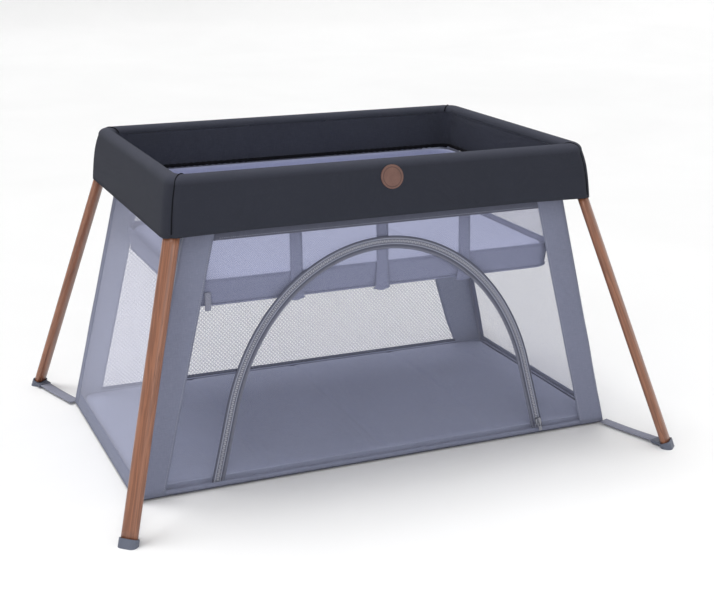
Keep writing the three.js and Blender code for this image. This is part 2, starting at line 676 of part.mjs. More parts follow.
function addZip(front) {
  const proud = (TRACK_THICKNESS - WALL) / 2;
  const track = slab(archBand(GAP, TRACK_WIDTH), -proud, WALL + proud);
  addPiece("door_zip_track", track, greyFabric, front);
  const flap = slab(archOutline(new THREE.Shape(), TRACK_WIDTH + ZIP_GAP), 0, WALL, ARCH_SEGMENTS);
  addPiece("door_flap", flap, netting, front);

  const straightTop = new THREE.Vector2(archHalf * Math.cos(ARCH_START), ARCH_RISE * Math.sin(ARCH_START));
  straightTop.y += ARCH_CENTRE_HEIGHT;
  const run = straightTop.sub(new THREE.Vector2(archFootHalf, ARCH_FOOT_HEIGHT));
  const lean = Math.atan2(-run.x, run.y);
  const rise = SLIDER_HEIGHT - ARCH_FOOT_HEIGHT;
  const sliderX = archFootHalf - rise * Math.tan(lean) - TRACK_WIDTH / 2;
  const onTrack = new THREE.Group();
  onTrack.position.set(sliderX, SLIDER_HEIGHT, WALL + proud + GAP);
  onTrack.rotation.z = lean;
  front.add(onTrack);
  const [across, along, out] = SLIDER;
  const [bailWidth, bailLength, bailRise] = BAIL;
  const bail = block([-bailWidth / 2, -bailLength / 2, 1], [bailWidth / 2, bailLength / 2, out + bailRise]);
  const openY = bailLength / 2 - BAIL_BAR;
  const underBail = block([-bailWidth, -openY, out], [bailWidth, openY, out + bailRise - BAIL_BAR]);
  const body = toSolid(slab(roundedRectangle(across / 2, along / 2, SLIDER_CORNER), 0, out));
  addPiece("zip_slider", toGeometry(bail.subtract(underBail).add(body)), zincAlloy, onTrack);
  onTrack.add(pullAt(PULL_HINGE[0], out + PULL_HINGE[1]));
}

// The pull hangs from its top bar, which lies under the slider's loop.
function pullAt(hingeY, hingeZ) {
  const hung = new THREE.Group();
  hung.position.set(0, hingeY, hingeZ);
  const [width, length, thickness] = PULL_SIZE;
  const [eyeWidth, eyeLength] = PULL_EYE;
  const half = thickness / 2;
  const plate = slab(roundedRectangle(width / 2, length / 2, PULL_CORNER), -half, half);
  const hanging = toSolid(plate, placed([0, half - length / 2, 0], [0, 0, 0]));
  const eye = block([-eyeWidth / 2, -half - eyeLength, -thickness], [eyeWidth / 2, -half, thickness]);
  addPiece("zip_pull", toGeometry(hanging.subtract(eye)), zincAlloy, hung);
  return hung;
}

function addTub() {
  const sideBottom = tubBottomX - WALL - GAP;
  const sideTop = tubTopX - WALL - GAP;
  for (const [label, turns] of [["front", 0], ["back", 2]]) {
    const { frame, length } = wallFrame(tubBottomY, tubTopY, turns);
    const shape = wallShape(sideBottom, sideTop, length);
    if (turns === 0) {
      shape.holes.push(archOutline(new THREE.Path(), 0));
      addZip(frame);
    }
    addPiece("tub_" + label + "_wall", slab(shape, 0, WALL, ARCH_SEGMENTS), netting, frame);
  }
  for (const [label, turns] of [["right", 1], ["left", 3]]) {
    const { frame, length } = wallFrame(tubBottomX, tubTopX, turns);
    const shape = wallShape(tubBottomY, tubTopY, length);
    addPiece("tub_" + label + "_wall", slab(shape, 0, WALL), netting, frame);
  }
  const floorTop = TUB_BOTTOM_Z - 1;
  const floor = slab(roundedRectangle(tubBottomX, tubBottomY, 4), floorTop - FLOOR_THICKNESS, floorTop);
  addPiece("tub_floor", floor, greyFabric);
  const mattressX = tubBottomX - WALL - MATTRESS_MARGIN;
  const mattressY = tubBottomY - WALL - MATTRESS_MARGIN / 2;
  const mattressLow = floorTop + GAP;
  const mattress = slab(
    roundedRectangle(mattressX, mattressY, MATTRESS_CORNER),
    mattressLow,
    mattressLow + MATTRESS_THICKNESS,
  );
  addPiece("floor_mattress", mattress, padFabric);
}

// ---------- bassinet ----------
function ringAt(halfX, halfY, z, radius) {
  const points = roundedRectangle(halfX, halfY, radius).getPoints(4);
  const open = points.filter((p, i) => i === 0 || p.distanceTo(points[i - 1]) > 1e-6);
  if (open[0].distanceTo(open[open.length - 1]) < 1e-6) {
    open.pop();
  }
  return open.map((p) => new THREE.Vector3(p.x, p.y, z));
}

function addBassinet() {
  const soft = TRAY_EDGE_ROUND;
  const profile = [
    [trayX - soft, trayY - soft, BASKET_BOTTOM_Z, 0],
    [trayX, trayY, BASKET_BOTTOM_Z + soft, 0],
    [trayX, trayY, TRAY_TOP_Z, 0],
    [basketTopX, basketTopY, BASKET_TOP_Z, 0],
    [basketTopX, basketTopY, BASKET_TOP_Z, BASKET_WALL],
    [trayX, trayY, TRAY_TOP_Z, BASKET_WALL],
    [trayX, trayY, BASKET_BOTTOM_Z + soft, BASKET_WALL],
    [trayX - soft, trayY - soft, BASKET_BOTTOM_Z + BASKET_WALL, BASKET_WALL],
  ];
  const rings = profile.map(([x, y, z, inset]) => ringAt(x - inset, y - inset, z, BASKET_CORNER));
  addPiece("bassinet_basket", skin(rings, fanCaps(rings[0].length)), netting);
  const clear = BASKET_WALL + PAD_CLEARANCE;
  const padLow = BASKET_BOTTOM_Z + BASKET_WALL + GAP;
  const padRings = [
    [trayX - soft - clear, trayY - soft - clear, padLow],
    [trayX - clear, trayY - clear, padLow + soft],
    [trayX - clear, trayY - clear, TRAY_TOP_Z - soft],
    [trayX - soft - clear, trayY - soft - clear, TRAY_TOP_Z],
  ].map(([x, y, z]) => ringAt(x, y, z, BASKET_CORNER));
  addPiece("bassinet_pad", skin(padRings, fanCaps(padRings[0].length)), padFabric);
}

// ---------- badge ----------
// Sits against the outermost facet of the front cover's profile at the badge's height.
function addBadge() {
  const outer = coverProfile(0);
  const above = outer.findIndex((p) => p.y > BADGE_Z);
  const low = outer[above - 1];
  const high = outer[above];
  const share = (BADGE_Z - low.y) / (high.y - low.y);
  const offset = low.x + share * (high.x - low.x);
  const lean = Math.atan2(low.x - high.x, high.y - low.y);
  const disc = new THREE.CylinderGeometry(BADGE_RADIUS, BADGE_RADIUS, BADGE_THICKNESS, 32);
  disc.translate(0, -BADGE_THICKNESS / 2 - GAP, 0);
  const badge = addPiece("rim_badge", disc, tanLeather);
  badge.rotation.x = -lean;
  badge.position.set(0, -rimHalfY - offset, BADGE_Z);
}

addCovers();
addHubPieces(1, "back");
addHubPieces(-1, "front");
addRails();
CORNERS.forEach(addCorner);
addTub();
addBassinet();
addBadge();

export default playpen;
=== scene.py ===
import math

import bmesh
import bpy
import numpy as np
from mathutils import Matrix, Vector


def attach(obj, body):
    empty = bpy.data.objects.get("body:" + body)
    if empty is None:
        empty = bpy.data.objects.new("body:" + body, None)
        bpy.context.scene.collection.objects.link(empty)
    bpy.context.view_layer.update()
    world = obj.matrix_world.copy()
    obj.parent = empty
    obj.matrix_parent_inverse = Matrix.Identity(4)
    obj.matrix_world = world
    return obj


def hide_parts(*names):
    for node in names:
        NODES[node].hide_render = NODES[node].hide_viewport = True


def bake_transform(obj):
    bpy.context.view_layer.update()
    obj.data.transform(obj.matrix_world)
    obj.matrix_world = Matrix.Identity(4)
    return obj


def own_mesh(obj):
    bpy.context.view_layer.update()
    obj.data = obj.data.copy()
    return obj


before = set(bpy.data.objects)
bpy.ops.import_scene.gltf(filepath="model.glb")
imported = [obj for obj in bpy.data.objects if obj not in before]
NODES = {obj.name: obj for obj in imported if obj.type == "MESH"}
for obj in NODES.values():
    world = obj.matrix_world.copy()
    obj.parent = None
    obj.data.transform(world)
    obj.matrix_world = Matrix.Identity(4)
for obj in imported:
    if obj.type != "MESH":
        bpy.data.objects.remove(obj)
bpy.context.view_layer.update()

# ---------- sizes, in metres, in the frame of the CAD ----------
RIM_X, RIM_Y = 0.4355, 0.2925            # rails' centre lines
HEM_Z = 0.543                            # cover's outer hem
CROWN_Z, CROWN_RADIUS = 0.634, 0.016     # where the cover turns over, and how roundly
SEAM_ANGLE = 58.0                        # degrees round each corner
WALL_LOW, WALL_TOP = 0.006, 0.552
LOW_X, LOW_Y = 0.540, 0.292              # tub's lower corner
TOP_X, TOP_Y = 0.412, 0.274              # tub's upper corner
BAND_LOW, BAND_TOP = 0.0065, 0.5515      # ends of the upright bands
TOP_BAND = (0.512, 0.551)                # lower and upper edge of the bands under the cover
TAPE_INSET = 0.0112                      # zip's middle line inside the arch
TRAY_X, TRAY_Y = 0.4081, 0.270
TRAY_LOW, TRAY_TOP, BASKET_TOP = 0.378, 0.432, 0.549
BASKET_X, BASKET_Y = 0.404, 0.266
LEG_PIVOT = (0.438509, 0.294962, 0.570)
LEG_FOOT = (0.595, 0.463, 0.0)
LEG_HALF_WIDTH, LEG_HALF_THICKNESS = 0.017, 0.010
LEG_TOP_GAP, LEG_FOOT_GAP = 0.034, 0.006

ENDS = ((-1, "left"), (1, "right"))
SIDES = ((-1, "front"), (1, "back"))
CORNERS = [(ex, ey, f"{lx}_{ly}") for ex, lx in ENDS for ey, ly in SIDES]
WALLS = {"front": (0, -1), "back": (0, 1), "left": (1, -1), "right": (1, 1)}


# ---------- camera, light and floor ----------
def set_camera():
    """Camera at the object's front left, turned about 23 degrees and looking down about 17."""
    data = bpy.data.cameras.new("studio_camera")
    cam = bpy.data.objects.new("studio_camera", data)
    bpy.context.scene.collection.objects.link(cam)
    cam.location = (-1.066, -2.660, 1.142)
    cam.rotation_euler = (math.pi / 2 - math.radians(16.85), 0.0, math.radians(-22.9))
    data.sensor_width = 36.0
    data.lens = 66.90756303
    data.clip_end = 40.0
    bpy.context.scene.camera = cam


def set_studio():
    """A pale floor that is flat for 8 m all round and then curves up as a quarter circle into a backdrop, a soft key
    from the front left, a wide overhead light and a white world."""
    key = bpy.data.lights.new("key", "AREA")
    key.shape, key.size, key.energy, key.color = "SQUARE", 2.4, 34, (1.0, 0.99, 0.98)
    place = Vector((-1.6, -3.2, 2.6))
    lamp = bpy.data.objects.new("key", key)
    lamp.location = place
    lamp.rotation_euler = (Vector((0, 0, 0.3)) - place).to_track_quat("-Z", "Y").to_euler()
    bpy.context.scene.collection.objects.link(lamp)
    sun = bpy.data.lights.new("overhead", "SUN")
    sun.energy, sun.angle = 1.55, math.radians(30)
    lamp = bpy.data.objects.new("overhead", sun)
    lamp.rotation_euler = (math.radians(-14), math.radians(-11), 0.0)
    bpy.context.scene.collection.objects.link(lamp)
    world = bpy.data.worlds.new("studio")
    world.use_nodes = True
    world.node_tree.nodes["Background"].inputs[0].default_value = (1, 1, 1, 1)
    world.node_tree.nodes["Background"].inputs[1].default_value = 0.55
    bpy.context.scene.world = world
    bpy.context.scene.view_settings.view_transform = "Standard"
    flat, bend, wall = 8.0, 4.15, 3.0
    far = np.array([0.0, 1, 2, 4, 6, 8, 9, 10, 10.8, 11.4, 11.8, 12.0, 12.1, 12.15])
    turn = np.linspace(0, 2 * np.pi, 65)[:-1]
    rise = bend - np.sqrt(np.maximum(bend ** 2 - np.maximum(far - flat, 0) ** 2, 0))
    rise[-1] += wall
    rings = np.stack([far[:, None] * np.cos(turn), far[:, None] * np.sin(turn), rise[:, None] + 0 * turn], -1)
    floor = outwards(clean(surface("studio_floor", rings, close_v=True)), (0, 0, 1.0), towards=True)
    paint(floor, studio_floor())


# ---------- meshes from arrays ----------
def surface(name, points, uv=None, close_u=False, close_v=False, flip=False):
    """A mesh from a grid of points (rows u, columns v): each cell of the grid is one quad.
    close_u or close_v joins the last row or column to the first. uv is metres along the cloth."""
    nu, nv = points.shape[:2]
    a, b = np.meshgrid(np.arange(nu - (not close_u)), np.arange(nv - (not close_v)), indexing="ij")
    a2, b2 = (a + 1) % nu, (b + 1) % nv
    quads = np.stack([a * nv + b, a2 * nv + b, a2 * nv + b2, a * nv + b2], -1).reshape(-1, 4)
    if flip:
        quads = quads[:, ::-1]
    return mesh_piece(name, points.reshape(-1, 3), quads, None if uv is None else uv.reshape(-1, 2))


def mesh_piece(name, verts, faces, uv=None, smooth=True):
    """A mesh object from an array of points and an array of faces with the same number of corners each."""
    mesh = bpy.data.meshes.new(name)
    count, corners = faces.shape
    mesh.vertices.add(len(verts))
    mesh.vertices.foreach_set("co", np.ascontiguousarray(verts, np.float32).ravel())
    mesh.loops.add(count * corners)
    mesh.loops.foreach_set("vertex_index", np.ascontiguousarray(faces, np.int32).ravel())
    mesh.polygons.add(count)
    mesh.polygons.foreach_set("loop_start", np.arange(0, count * corners, corners, dtype=np.int32))
    mesh.polygons.foreach_set("use_smooth", np.full(count, smooth))
    mesh.update(calc_edges=True)
    if uv is not None:
        layer = mesh.uv_layers.new(name="cloth")
        layer.data.foreach_set("uv", np.ascontiguousarray(uv[faces.ravel()], np.float32).ravel())
    mesh.validate()
    piece = bpy.data.objects.new(name, mesh)
    bpy.context.scene.collection.objects.link(piece)
    return piece


def read_rows(items, field):
    """A field of three numbers, such as a place or a normal, of every item as rows of an array."""
    values = np.empty(len(items) * 3, np.float32)
    items.foreach_get(field, values)
    return values.reshape(-1, 3)


def unit(vectors):
    """The same directions at length one."""
    return vectors / np.linalg.norm(vectors, axis=-1, keepdims=True)


def oval(half_width, half_depth, sides=8):
    """A closed oval section: cosine across and sine deep, at even angles."""
    a = np.linspace(0, 2 * np.pi, sides + 1)[:-1]
    return np.stack([half_width * np.cos(a), half_depth * np.sin(a)], -1)


def lengths_along(path):
    """Running length of a path of points."""
    steps = np.linalg.norm(np.diff(path, axis=0), axis=1)
    return np.concatenate([[0.0], np.cumsum(steps)])


def cloth_map(run, across):
    """UV grid with the first numbers down its rows and the second along its columns."""
    return np.stack(np.meshgrid(run, across, indexing="ij"), -1)


def capped(rings):
    """Rings with the first and last repeated, shrunk to their own middles, so that both ends are closed."""
    first, last = (np.repeat(end.mean(1, keepdims=True), rings.shape[1], 1) for end in (rings[:1], rings[-1:]))
    return np.concatenate([first, rings, last])


def swept(name, path, out, side, profile, close=False):
    """A profile carried along a path: each ring is path + profile's first number along side + its second along out.
    The profile is a closed loop. close joins the path's ends, which get flat caps otherwise."""
    rings = path[:, None] + profile[None, :, :1] * side[:, None] + profile[None, :, 1:] * out[:, None]
    if not close:
        rings = capped(rings)
    uv = cloth_map(lengths_along(rings[:, 0]), lengths_along(profile))
    return clean(surface(name, rings, uv=uv, close_v=True, close_u=close))


def clean(piece, distance=1e-6):
    """Merges doubled points and turns every face outwards."""
    bm = bmesh.new()
    bm.from_mesh(piece.data)
    bmesh.ops.remove_doubles(bm, verts=bm.verts, dist=distance)
    bmesh.ops.dissolve_degenerate(bm, edges=bm.edges, dist=distance)
    bmesh.ops.recalc_face_normals(bm, faces=bm.faces)
    bm.to_mesh(piece.data)
    bm.free()
    return piece


def fill_poles(piece):
    """Closes the small holes left at the middle of the first and last ring."""
    bm = bmesh.new()
    bm.from_mesh(piece.data)
    open_edges = [e for e in bm.edges if e.is_boundary]
    if open_edges:
        bmesh.ops.holes_fill(bm, edges=open_edges, sides=0)
    bmesh.ops.recalc_face_normals(bm, faces=bm.faces)
    bm.to_mesh(piece.data)
    bm.free()
    return piece


def outwards(piece, centre, towards=False):
    """Turns an open sheet's faces away from a point, or towards it."""
    faces = piece.data.polygons
    away = ((read_rows(faces, "center") - np.array(centre)) * read_rows(faces, "normal")).sum()
    if (away < 0) != towards:
        piece.data.flip_normals()
    return piece


def wall_thickness(piece, thickness, offset=-1.0, rim=True):
    """Gives a sheet its thickness, inwards from its outer face unless told otherwise."""
    solid = piece.modifiers.new("thickness", "SOLIDIFY")
    solid.thickness, solid.offset, solid.use_rim = thickness, offset, rim
    return piece


def paint(piece, made):
    """Gives a piece one material, and takes any other away."""
    piece.data.materials.clear()
    piece.data.materials.append(made)
    return piece


def finish_as(piece, finish):
    """Gives a piece its finish."""
    paint(piece, PAINTS[finish])
    return piece


# ---------- shader groups ----------
class Wiring:
    """Short ways to add nodes to one tree. A value is a number, a colour or vector, or another node's output."""

    def __init__(self, tree):
        self.tree = tree

    def node(self, kind, **settings):
        made = self.tree.nodes.new("ShaderNode" + kind)
        for field, value in settings.items():
            setattr(made, field, value)
        return made

    def put(self, socket, value):
        if hasattr(value, "is_output"):
            self.tree.links.new(value, socket)
        else:
            socket.default_value = value

    def fed(self, node, *values):
        """Feeds a node's inputs in their order, and gives its first output."""
        for socket, value in zip(node.inputs, values):
            self.put(socket, value)
        return node.outputs[0]

    def math(self, kind, *values):
        return self.fed(self.node("Math", operation=kind), *values)

    def mul(self, a, b):
        return self.math("MULTIPLY", a, b)

    def add(self, a, b):
        return self.math("ADD", a, b)

    def sub(self, a, b):
        return self.math("SUBTRACT", a, b)

    def sine(self, a):
        return self.math("SINE", a)

    def size(self, a):
        return self.math("ABSOLUTE", a)

    def xyz(self, vector):
        node = self.node("SeparateXYZ")
        self.put(node.inputs[0], vector)
        return node.outputs

    def vector(self, kind, a, b):
        return self.fed(self.node("VectorMath", operation=kind), a, b)

    def noise(self, vector, scale, detail=3.0, rough=0.55, distortion=0.0):
        node = self.node("TexNoise")
        labels = ("Vector", "Scale", "Detail", "Roughness", "Distortion")
        for label, value in zip(labels, (vector, scale, detail, rough, distortion)):
            self.put(node.inputs[label], value)
        return node.outputs[0]

    def spread(self, value, low, high, to_low=0.0, to_high=1.0):
        return self.fed(self.node("MapRange"), value, low, high, to_low, to_high)

    def mix(self, share, a, b):
        node = self.node("Mix", data_type="RGBA")
        for place, value in ((0, share), (6, a), (7, b)):
            self.put(node.inputs[place], (*value, 1) if isinstance(value, tuple) else value)
        return node.outputs[2]

    def group(self, tree, **values):
        node = self.node("Group", node_tree=tree)
        for label, value in values.items():
            self.put(node.inputs[label], value)
        return node.outputs

    def shade(self, **values):
        """Puts values on the material's own shader. An underscore in a label stands for a space."""
        shader = self.tree.nodes["Principled BSDF"]
        for label, value in values.items():
            self.put(shader.inputs[label.replace("_", " ")], value)

    def bump(self, height, depth, strength=1.0, under=None):
        """A bump of that depth into the shader's normal, over another bump if one is given."""
        node = self.node("Bump")
        for label, value in (("Strength", strength), ("Distance", depth), ("Height", height)):
            self.put(node.inputs[label], value)
        if under is not None:
            self.put(node.inputs["Normal"], under)
        self.shade(Normal=node.outputs[0])
        return node.outputs[0]


def new_group(name, outputs, **numbers):
    """A node group with a Vector and those numbers as inputs, and numbers as outputs: its wiring, what it is given
    and what it makes."""
    tree = bpy.data.node_groups.new(name, "ShaderNodeTree")
    tree.interface.new_socket(name="Vector", in_out="INPUT", socket_type="NodeSocketVector")
    for label, value in numbers.items():
        tree.interface.new_socket(name=label, in_out="INPUT", socket_type="NodeSocketFloat").default_value = value
    for label in outputs:
        tree.interface.new_socket(name=label, in_out="OUTPUT", socket_type="NodeSocketFloat")
    return Wiring(tree), tree.nodes.new("NodeGroupInput").outputs, tree.nodes.new("NodeGroupOutput").inputs


def weave_group():
    """Plain weave: the two thread sets are ridges of sine across and along, each on top in alternate cells.
    Height is the upper thread's ridge; Fleck is soft uneven yarn for colour."""
    w, given, made = new_group("plain_weave", ("Height", "Fleck"), Threads=900.0)
    x, y, _ = w.xyz(given["Vector"])
    u, v = w.mul(x, given["Threads"]), w.mul(y, given["Threads"])
    ridge_u, ridge_v = w.size(w.sine(w.mul(u, math.pi))), w.size(w.sine(w.mul(v, math.pi)))
    over = w.math("PINGPONG", w.add(w.math("FLOOR", u), w.math("FLOOR", v)), 1.0)
    warp = w.mul(ridge_u, w.math("MULTIPLY_ADD", over, 0.5, 0.5))
    weft = w.mul(ridge_v, w.math("MULTIPLY_ADD", over, -0.5, 1.0))
    w.put(made["Height"], w.math("MAXIMUM", warp, weft))
    long = w.noise(w.vector("MULTIPLY", given["Vector"], (1.0, 0.12, 1.0)), 520.0, 2.0)
    crossed = w.noise(w.vector("MULTIPLY", given["Vector"], (0.12, 1.0, 1.0)), 520.0, 2.0)
    w.put(made["Fleck"], w.spread(w.mul(w.add(long, crossed), 0.5), 0.32, 0.68))
    return w.tree


def knit_group():
    """Fine jersey knit: columns of small V stitches, a sine across bent by a sine along."""
    w, given, made = new_group("jersey_knit", ("Height", "Fleck"), Stitches=700.0)
    x, y, _ = w.xyz(given["Vector"])
    u, v = w.mul(x, given["Stitches"]), w.mul(y, given["Stitches"])
    slant = w.mul(w.math("PINGPONG", u, 0.5), 1.2)
    wave = w.sine(w.mul(w.add(v, slant), 2 * math.pi))
    rib = w.sine(w.mul(u, 2 * math.pi))
    w.put(made["Height"], w.spread(w.add(w.mul(wave, 0.5), w.mul(rib, 0.35)), -0.85, 0.85))
    w.put(made["Fleck"], w.spread(w.noise(given["Vector"], 900.0, 2.0), 0.3, 0.7))
    return w.tree


def mottle_group():
    """Slow unevenness of colour and finish: broad soft patches, and small dusty specks."""
    w, given, made = new_group("soft_mottle", ("Patches", "Specks"), Patch=6.0, Speck=220.0)
    w.put(made["Patches"], w.spread(w.noise(given["Vector"], given["Patch"], 4.0, 0.6, 0.4), 0.33, 0.67))
    w.put(made["Specks"], w.spread(w.noise(given["Vector"], given["Speck"], 2.0, 0.7), 0.62, 0.72))
    return w.tree


def crease_group():
    """Shallow creases of stretched cloth: long soft noise, pulled along the cloth's second direction."""
    w, given, made = new_group("stretch_creases", ("Height",), Scale=9.0)
    pulled = w.vector("MULTIPLY", given["Vector"], (1.0, 0.35, 1.0))
    slow = w.noise(pulled, given["Scale"], 3.0, 0.5, 1.2)
    w.put(made["Height"], w.spread(w.size(w.sub(slow, 0.5)), 0.0, 0.16))
    return w.tree


def mesh_group():
    """Knitted netting: two sets of slanting yarns cross in diamonds, thicker where they meet. Cover is how much
    yarn fills a spot, from the larger diamond and a finer one inside it."""
    w, given, made = new_group("netting_holes", ("Cover", "Height"), Pitch=0.0065, Fine=0.0016)
    x, y, _ = w.xyz(given["Vector"])
    slant = w.mul(y, 0.92)

    def yarns(pitch, width):
        sets = (w.math("DIVIDE", crossing, pitch) for crossing in (w.add(x, slant), w.sub(x, slant)))
        near = w.math("MINIMUM", *(w.math("PINGPONG", one, 0.5) for one in sets))
        return w.spread(near, width, width + 0.16, 1.0, 0.0)

    cover = w.math("MAXIMUM", yarns(given["Pitch"], 0.10), w.mul(yarns(given["Fine"], 0.08), 0.30))
    w.put(made["Cover"], cover)
    w.put(made["Height"], cover)
    return w.tree


def grain_group():
    """Wood grain along Z of the vector: rings of slow noise stretched lengthwise, with fine dark pores and streaks."""
    w, given, made = new_group("long_grain", ("Rings", "Pores", "Streaks"))
    base = w.noise(w.vector("MULTIPLY", given["Vector"], (1.0, 1.0, 0.055)), 34.0, 4.0, 0.55, 0.6)
    w.put(made["Rings"], w.spread(w.sine(w.mul(base, 46.0)), -1.0, 1.0))
    fine = w.vector("MULTIPLY", given["Vector"], (1.0, 1.0, 0.02))
    w.put(made["Pores"], w.spread(w.noise(fine, 900.0, 2.0, 0.6), 0.58, 0.72))
    w.put(made["Streaks"], w.spread(w.noise(fine, 190.0, 3.0, 0.6), 0.3, 0.7))
    return w.tree


WEAVE, KNIT, MOTTLE = weave_group(), knit_group(), mottle_group()
CREASE, MESH, GRAIN = crease_group(), mesh_group(), grain_group()


# ---------- materials ----------
def material(name):
    """An empty node material: its wiring and its coordinates."""
    made = bpy.data.materials.new(name)
    made.use_nodes = True
    w = Wiring(made.node_tree)
    return made, w, w.node("TexCoord").outputs


def paler(colour, times, plus=0.0):
    """The colour with each part multiplied and raised, to one at most."""
    return tuple(min(1, c * times + plus) for c in colour)


def cloth(name, dark, light, threads, roughness, sheen, crease, knit=False, use_uv=True, painted_top_light=None):
    """Woven or knitted cloth in two close colours: yarn flecks, faint patches, weave bump over shallow creases.
    painted_top_light is a paler colour, with the heights between which the cloth fades to it: painted light, a lighter
    top edge where more light falls."""
    made, w, at = material(name)
    flat = at["UV"] if use_uv else at["Object"]
    yarn = w.group(KNIT, Vector=flat, Stitches=threads) if knit else w.group(WEAVE, Vector=flat, Threads=threads)
    soft = w.group(MOTTLE, Vector=at["Object"], Patch=6.0)
    tone = w.mix(w.math("MULTIPLY_ADD", yarn["Fleck"], 0.55, 0.2), dark, light)
    tone = w.mix(w.mul(soft["Patches"], 0.35), tone, light)
    tone = w.mix(w.mul(soft["Specks"], 0.10), tone, paler(light, 1.7, 0.02))
    # painted light: the cloth turns paler towards its top, standing for the light that falls on it there
    if painted_top_light is not None:
        colour, low, high = painted_top_light
        tone = w.mix(w.spread(w.xyz(at["Object"])[2], low, high), tone, colour)
    dullness = w.spread(soft["Patches"], 0, 1, roughness - 0.06, min(1.0, roughness + 0.05))
    w.shade(Base_Color=tone, Roughness=dullness, Sheen_Weight=sheen, Sheen_Roughness=0.5, Specular_IOR_Level=0.12)
    folds = w.group(CREASE, Vector=at["Object"], Scale=9.0)
    w.bump(yarn["Height"], 0.0004, 0.5, under=w.bump(folds["Height"], crease))
    return made


def netting(name, tint, pitch, fine, low, high):
    """See-through knitted net: its yarns are the tint, and the holes between them let the light through."""
    made, w, at = material(name)
    net = w.group(MESH, Vector=at["UV"], Pitch=pitch, Fine=fine)
    soft = w.group(MOTTLE, Vector=at["Object"], Patch=3.0)
    w.shade(Base_Color=w.mix(soft["Patches"], tint, paler(tint, 1.12)), Roughness=0.85, Sheen_Weight=0.2)
    w.shade(Alpha=w.spread(net["Cover"], 0.0, 1.0, low, high), Specular_IOR_Level=0.2)
    w.bump(net["Height"], 0.0003, 0.5)
    return made


def walnut():
    """Oiled walnut: reddish brown rings along the leg, dark pores and lighter streaks under a satin coat."""
    made, w, at = material("oiled_walnut")
    lengthwise = w.node("Attribute", attribute_name="grain_space")
    grain = w.group(GRAIN, Vector=lengthwise.outputs["Vector"])
    soft = w.group(MOTTLE, Vector=at["Object"], Patch=4.0)
    tone = w.mix(w.mul(grain["Rings"], 0.75), (0.300, 0.120, 0.062), (0.115, 0.037, 0.018))
    tone = w.mix(w.mul(grain["Streaks"], 0.45), tone, (0.35, 0.150, 0.082))
    tone = w.mix(w.mul(grain["Pores"], 0.65), tone, (0.050, 0.018, 0.010))
    tone = w.mix(w.mul(soft["Patches"], 0.25), tone, (0.19, 0.070, 0.036))
    w.shade(Base_Color=tone, Roughness=w.spread(grain["Pores"], 0, 1, 0.36, 0.60))
    w.shade(Coat_Weight=0.35, Coat_Roughness=0.30)
    w.bump(w.sub(1.0, grain["Pores"]), 0.00025, 0.5)
    return made


def moulded(name, dark, light, roughness):
    """Moulded plastic with a fine spark-eroded texture, paler where it is rubbed."""
    made, w, at = material(name)
    soft = w.group(MOTTLE, Vector=at["Object"], Patch=14.0, Speck=300.0)
    tone = w.mix(w.mul(soft["Patches"], 0.5), dark, light)
    tone = w.mix(w.mul(soft["Specks"], 0.25), tone, paler(light, 1.8))
    w.shade(Base_Color=tone, Roughness=w.spread(soft["Patches"], 0, 1, roughness - 0.08, roughness + 0.08))
    w.bump(w.noise(at["Object"], 1680.0, 2.0, 0.6), 0.00025, 0.35)
    return made


def metal(name, dark, light, roughness):
    """Drawn or cast metal: fine uneven marks, and dull patches."""
    made, w, at = material(name)
    marks = w.noise(at["Object"], 1500.0, 2.0, 0.6)
    soft = w.group(MOTTLE, Vector=at["Object"], Patch=20.0, Speck=260.0)
    dullness = w.spread(soft["Patches"], 0, 1, roughness - 0.06, roughness + 0.12)
    w.shade(Base_Color=w.mix(w.spread(marks, 0.3, 0.7), dark, light), Metallic=1.0, Roughness=dullness)
    w.bump(marks, 0.00008, 0.4)
    return made


def badge_leather(centre):
    """Tan leather with pebbled grain, darker pressed ring near its edge, and paler rubbed high spots.
    The ring is a band of the distance from the badge's middle."""
    made, w, at = material("badge_leather")
    x, _, z = w.xyz(w.vector("SUBTRACT", at["Object"], centre))
    far = w.math("SQRT", w.add(w.mul(x, x), w.mul(z, z)))
    ring = w.spread(w.size(w.sub(far, 0.0192)), 0.0004, 0.0014, 1.0, 0.0)
    pebble = w.node("TexVoronoi")
    w.put(pebble.inputs["Vector"], at["Object"])
    w.put(pebble.inputs["Scale"], 900.0)
    soft = w.group(MOTTLE, Vector=at["Object"], Patch=40.0, Speck=400.0)
    tone = w.mix(soft["Patches"], (0.135, 0.066, 0.052), (0.180, 0.090, 0.070))
    tone = w.mix(w.mul(ring, 0.75), tone, (0.050, 0.022, 0.017))
    tone = w.mix(w.mul(soft["Specks"], 0.3), tone, (0.26, 0.14, 0.10))
    w.shade(Base_Color=tone, Roughness=0.55)
    w.bump(w.sub(w.mul(pebble.outputs["Distance"], 0.4), ring), 0.0005, 0.6)
    return made


def studio_floor():
    """Plain pale floor paper, with the faintest unevenness."""
    made, w, at = material("studio_paper")
    soft = w.group(MOTTLE, Vector=at["Object"], Patch=0.8, Speck=60.0)
    w.shade(Base_Color=w.mix(soft["Patches"], (0.90, 0.90, 0.90), (0.93, 0.93, 0.93)), Roughness=0.75)
    return made


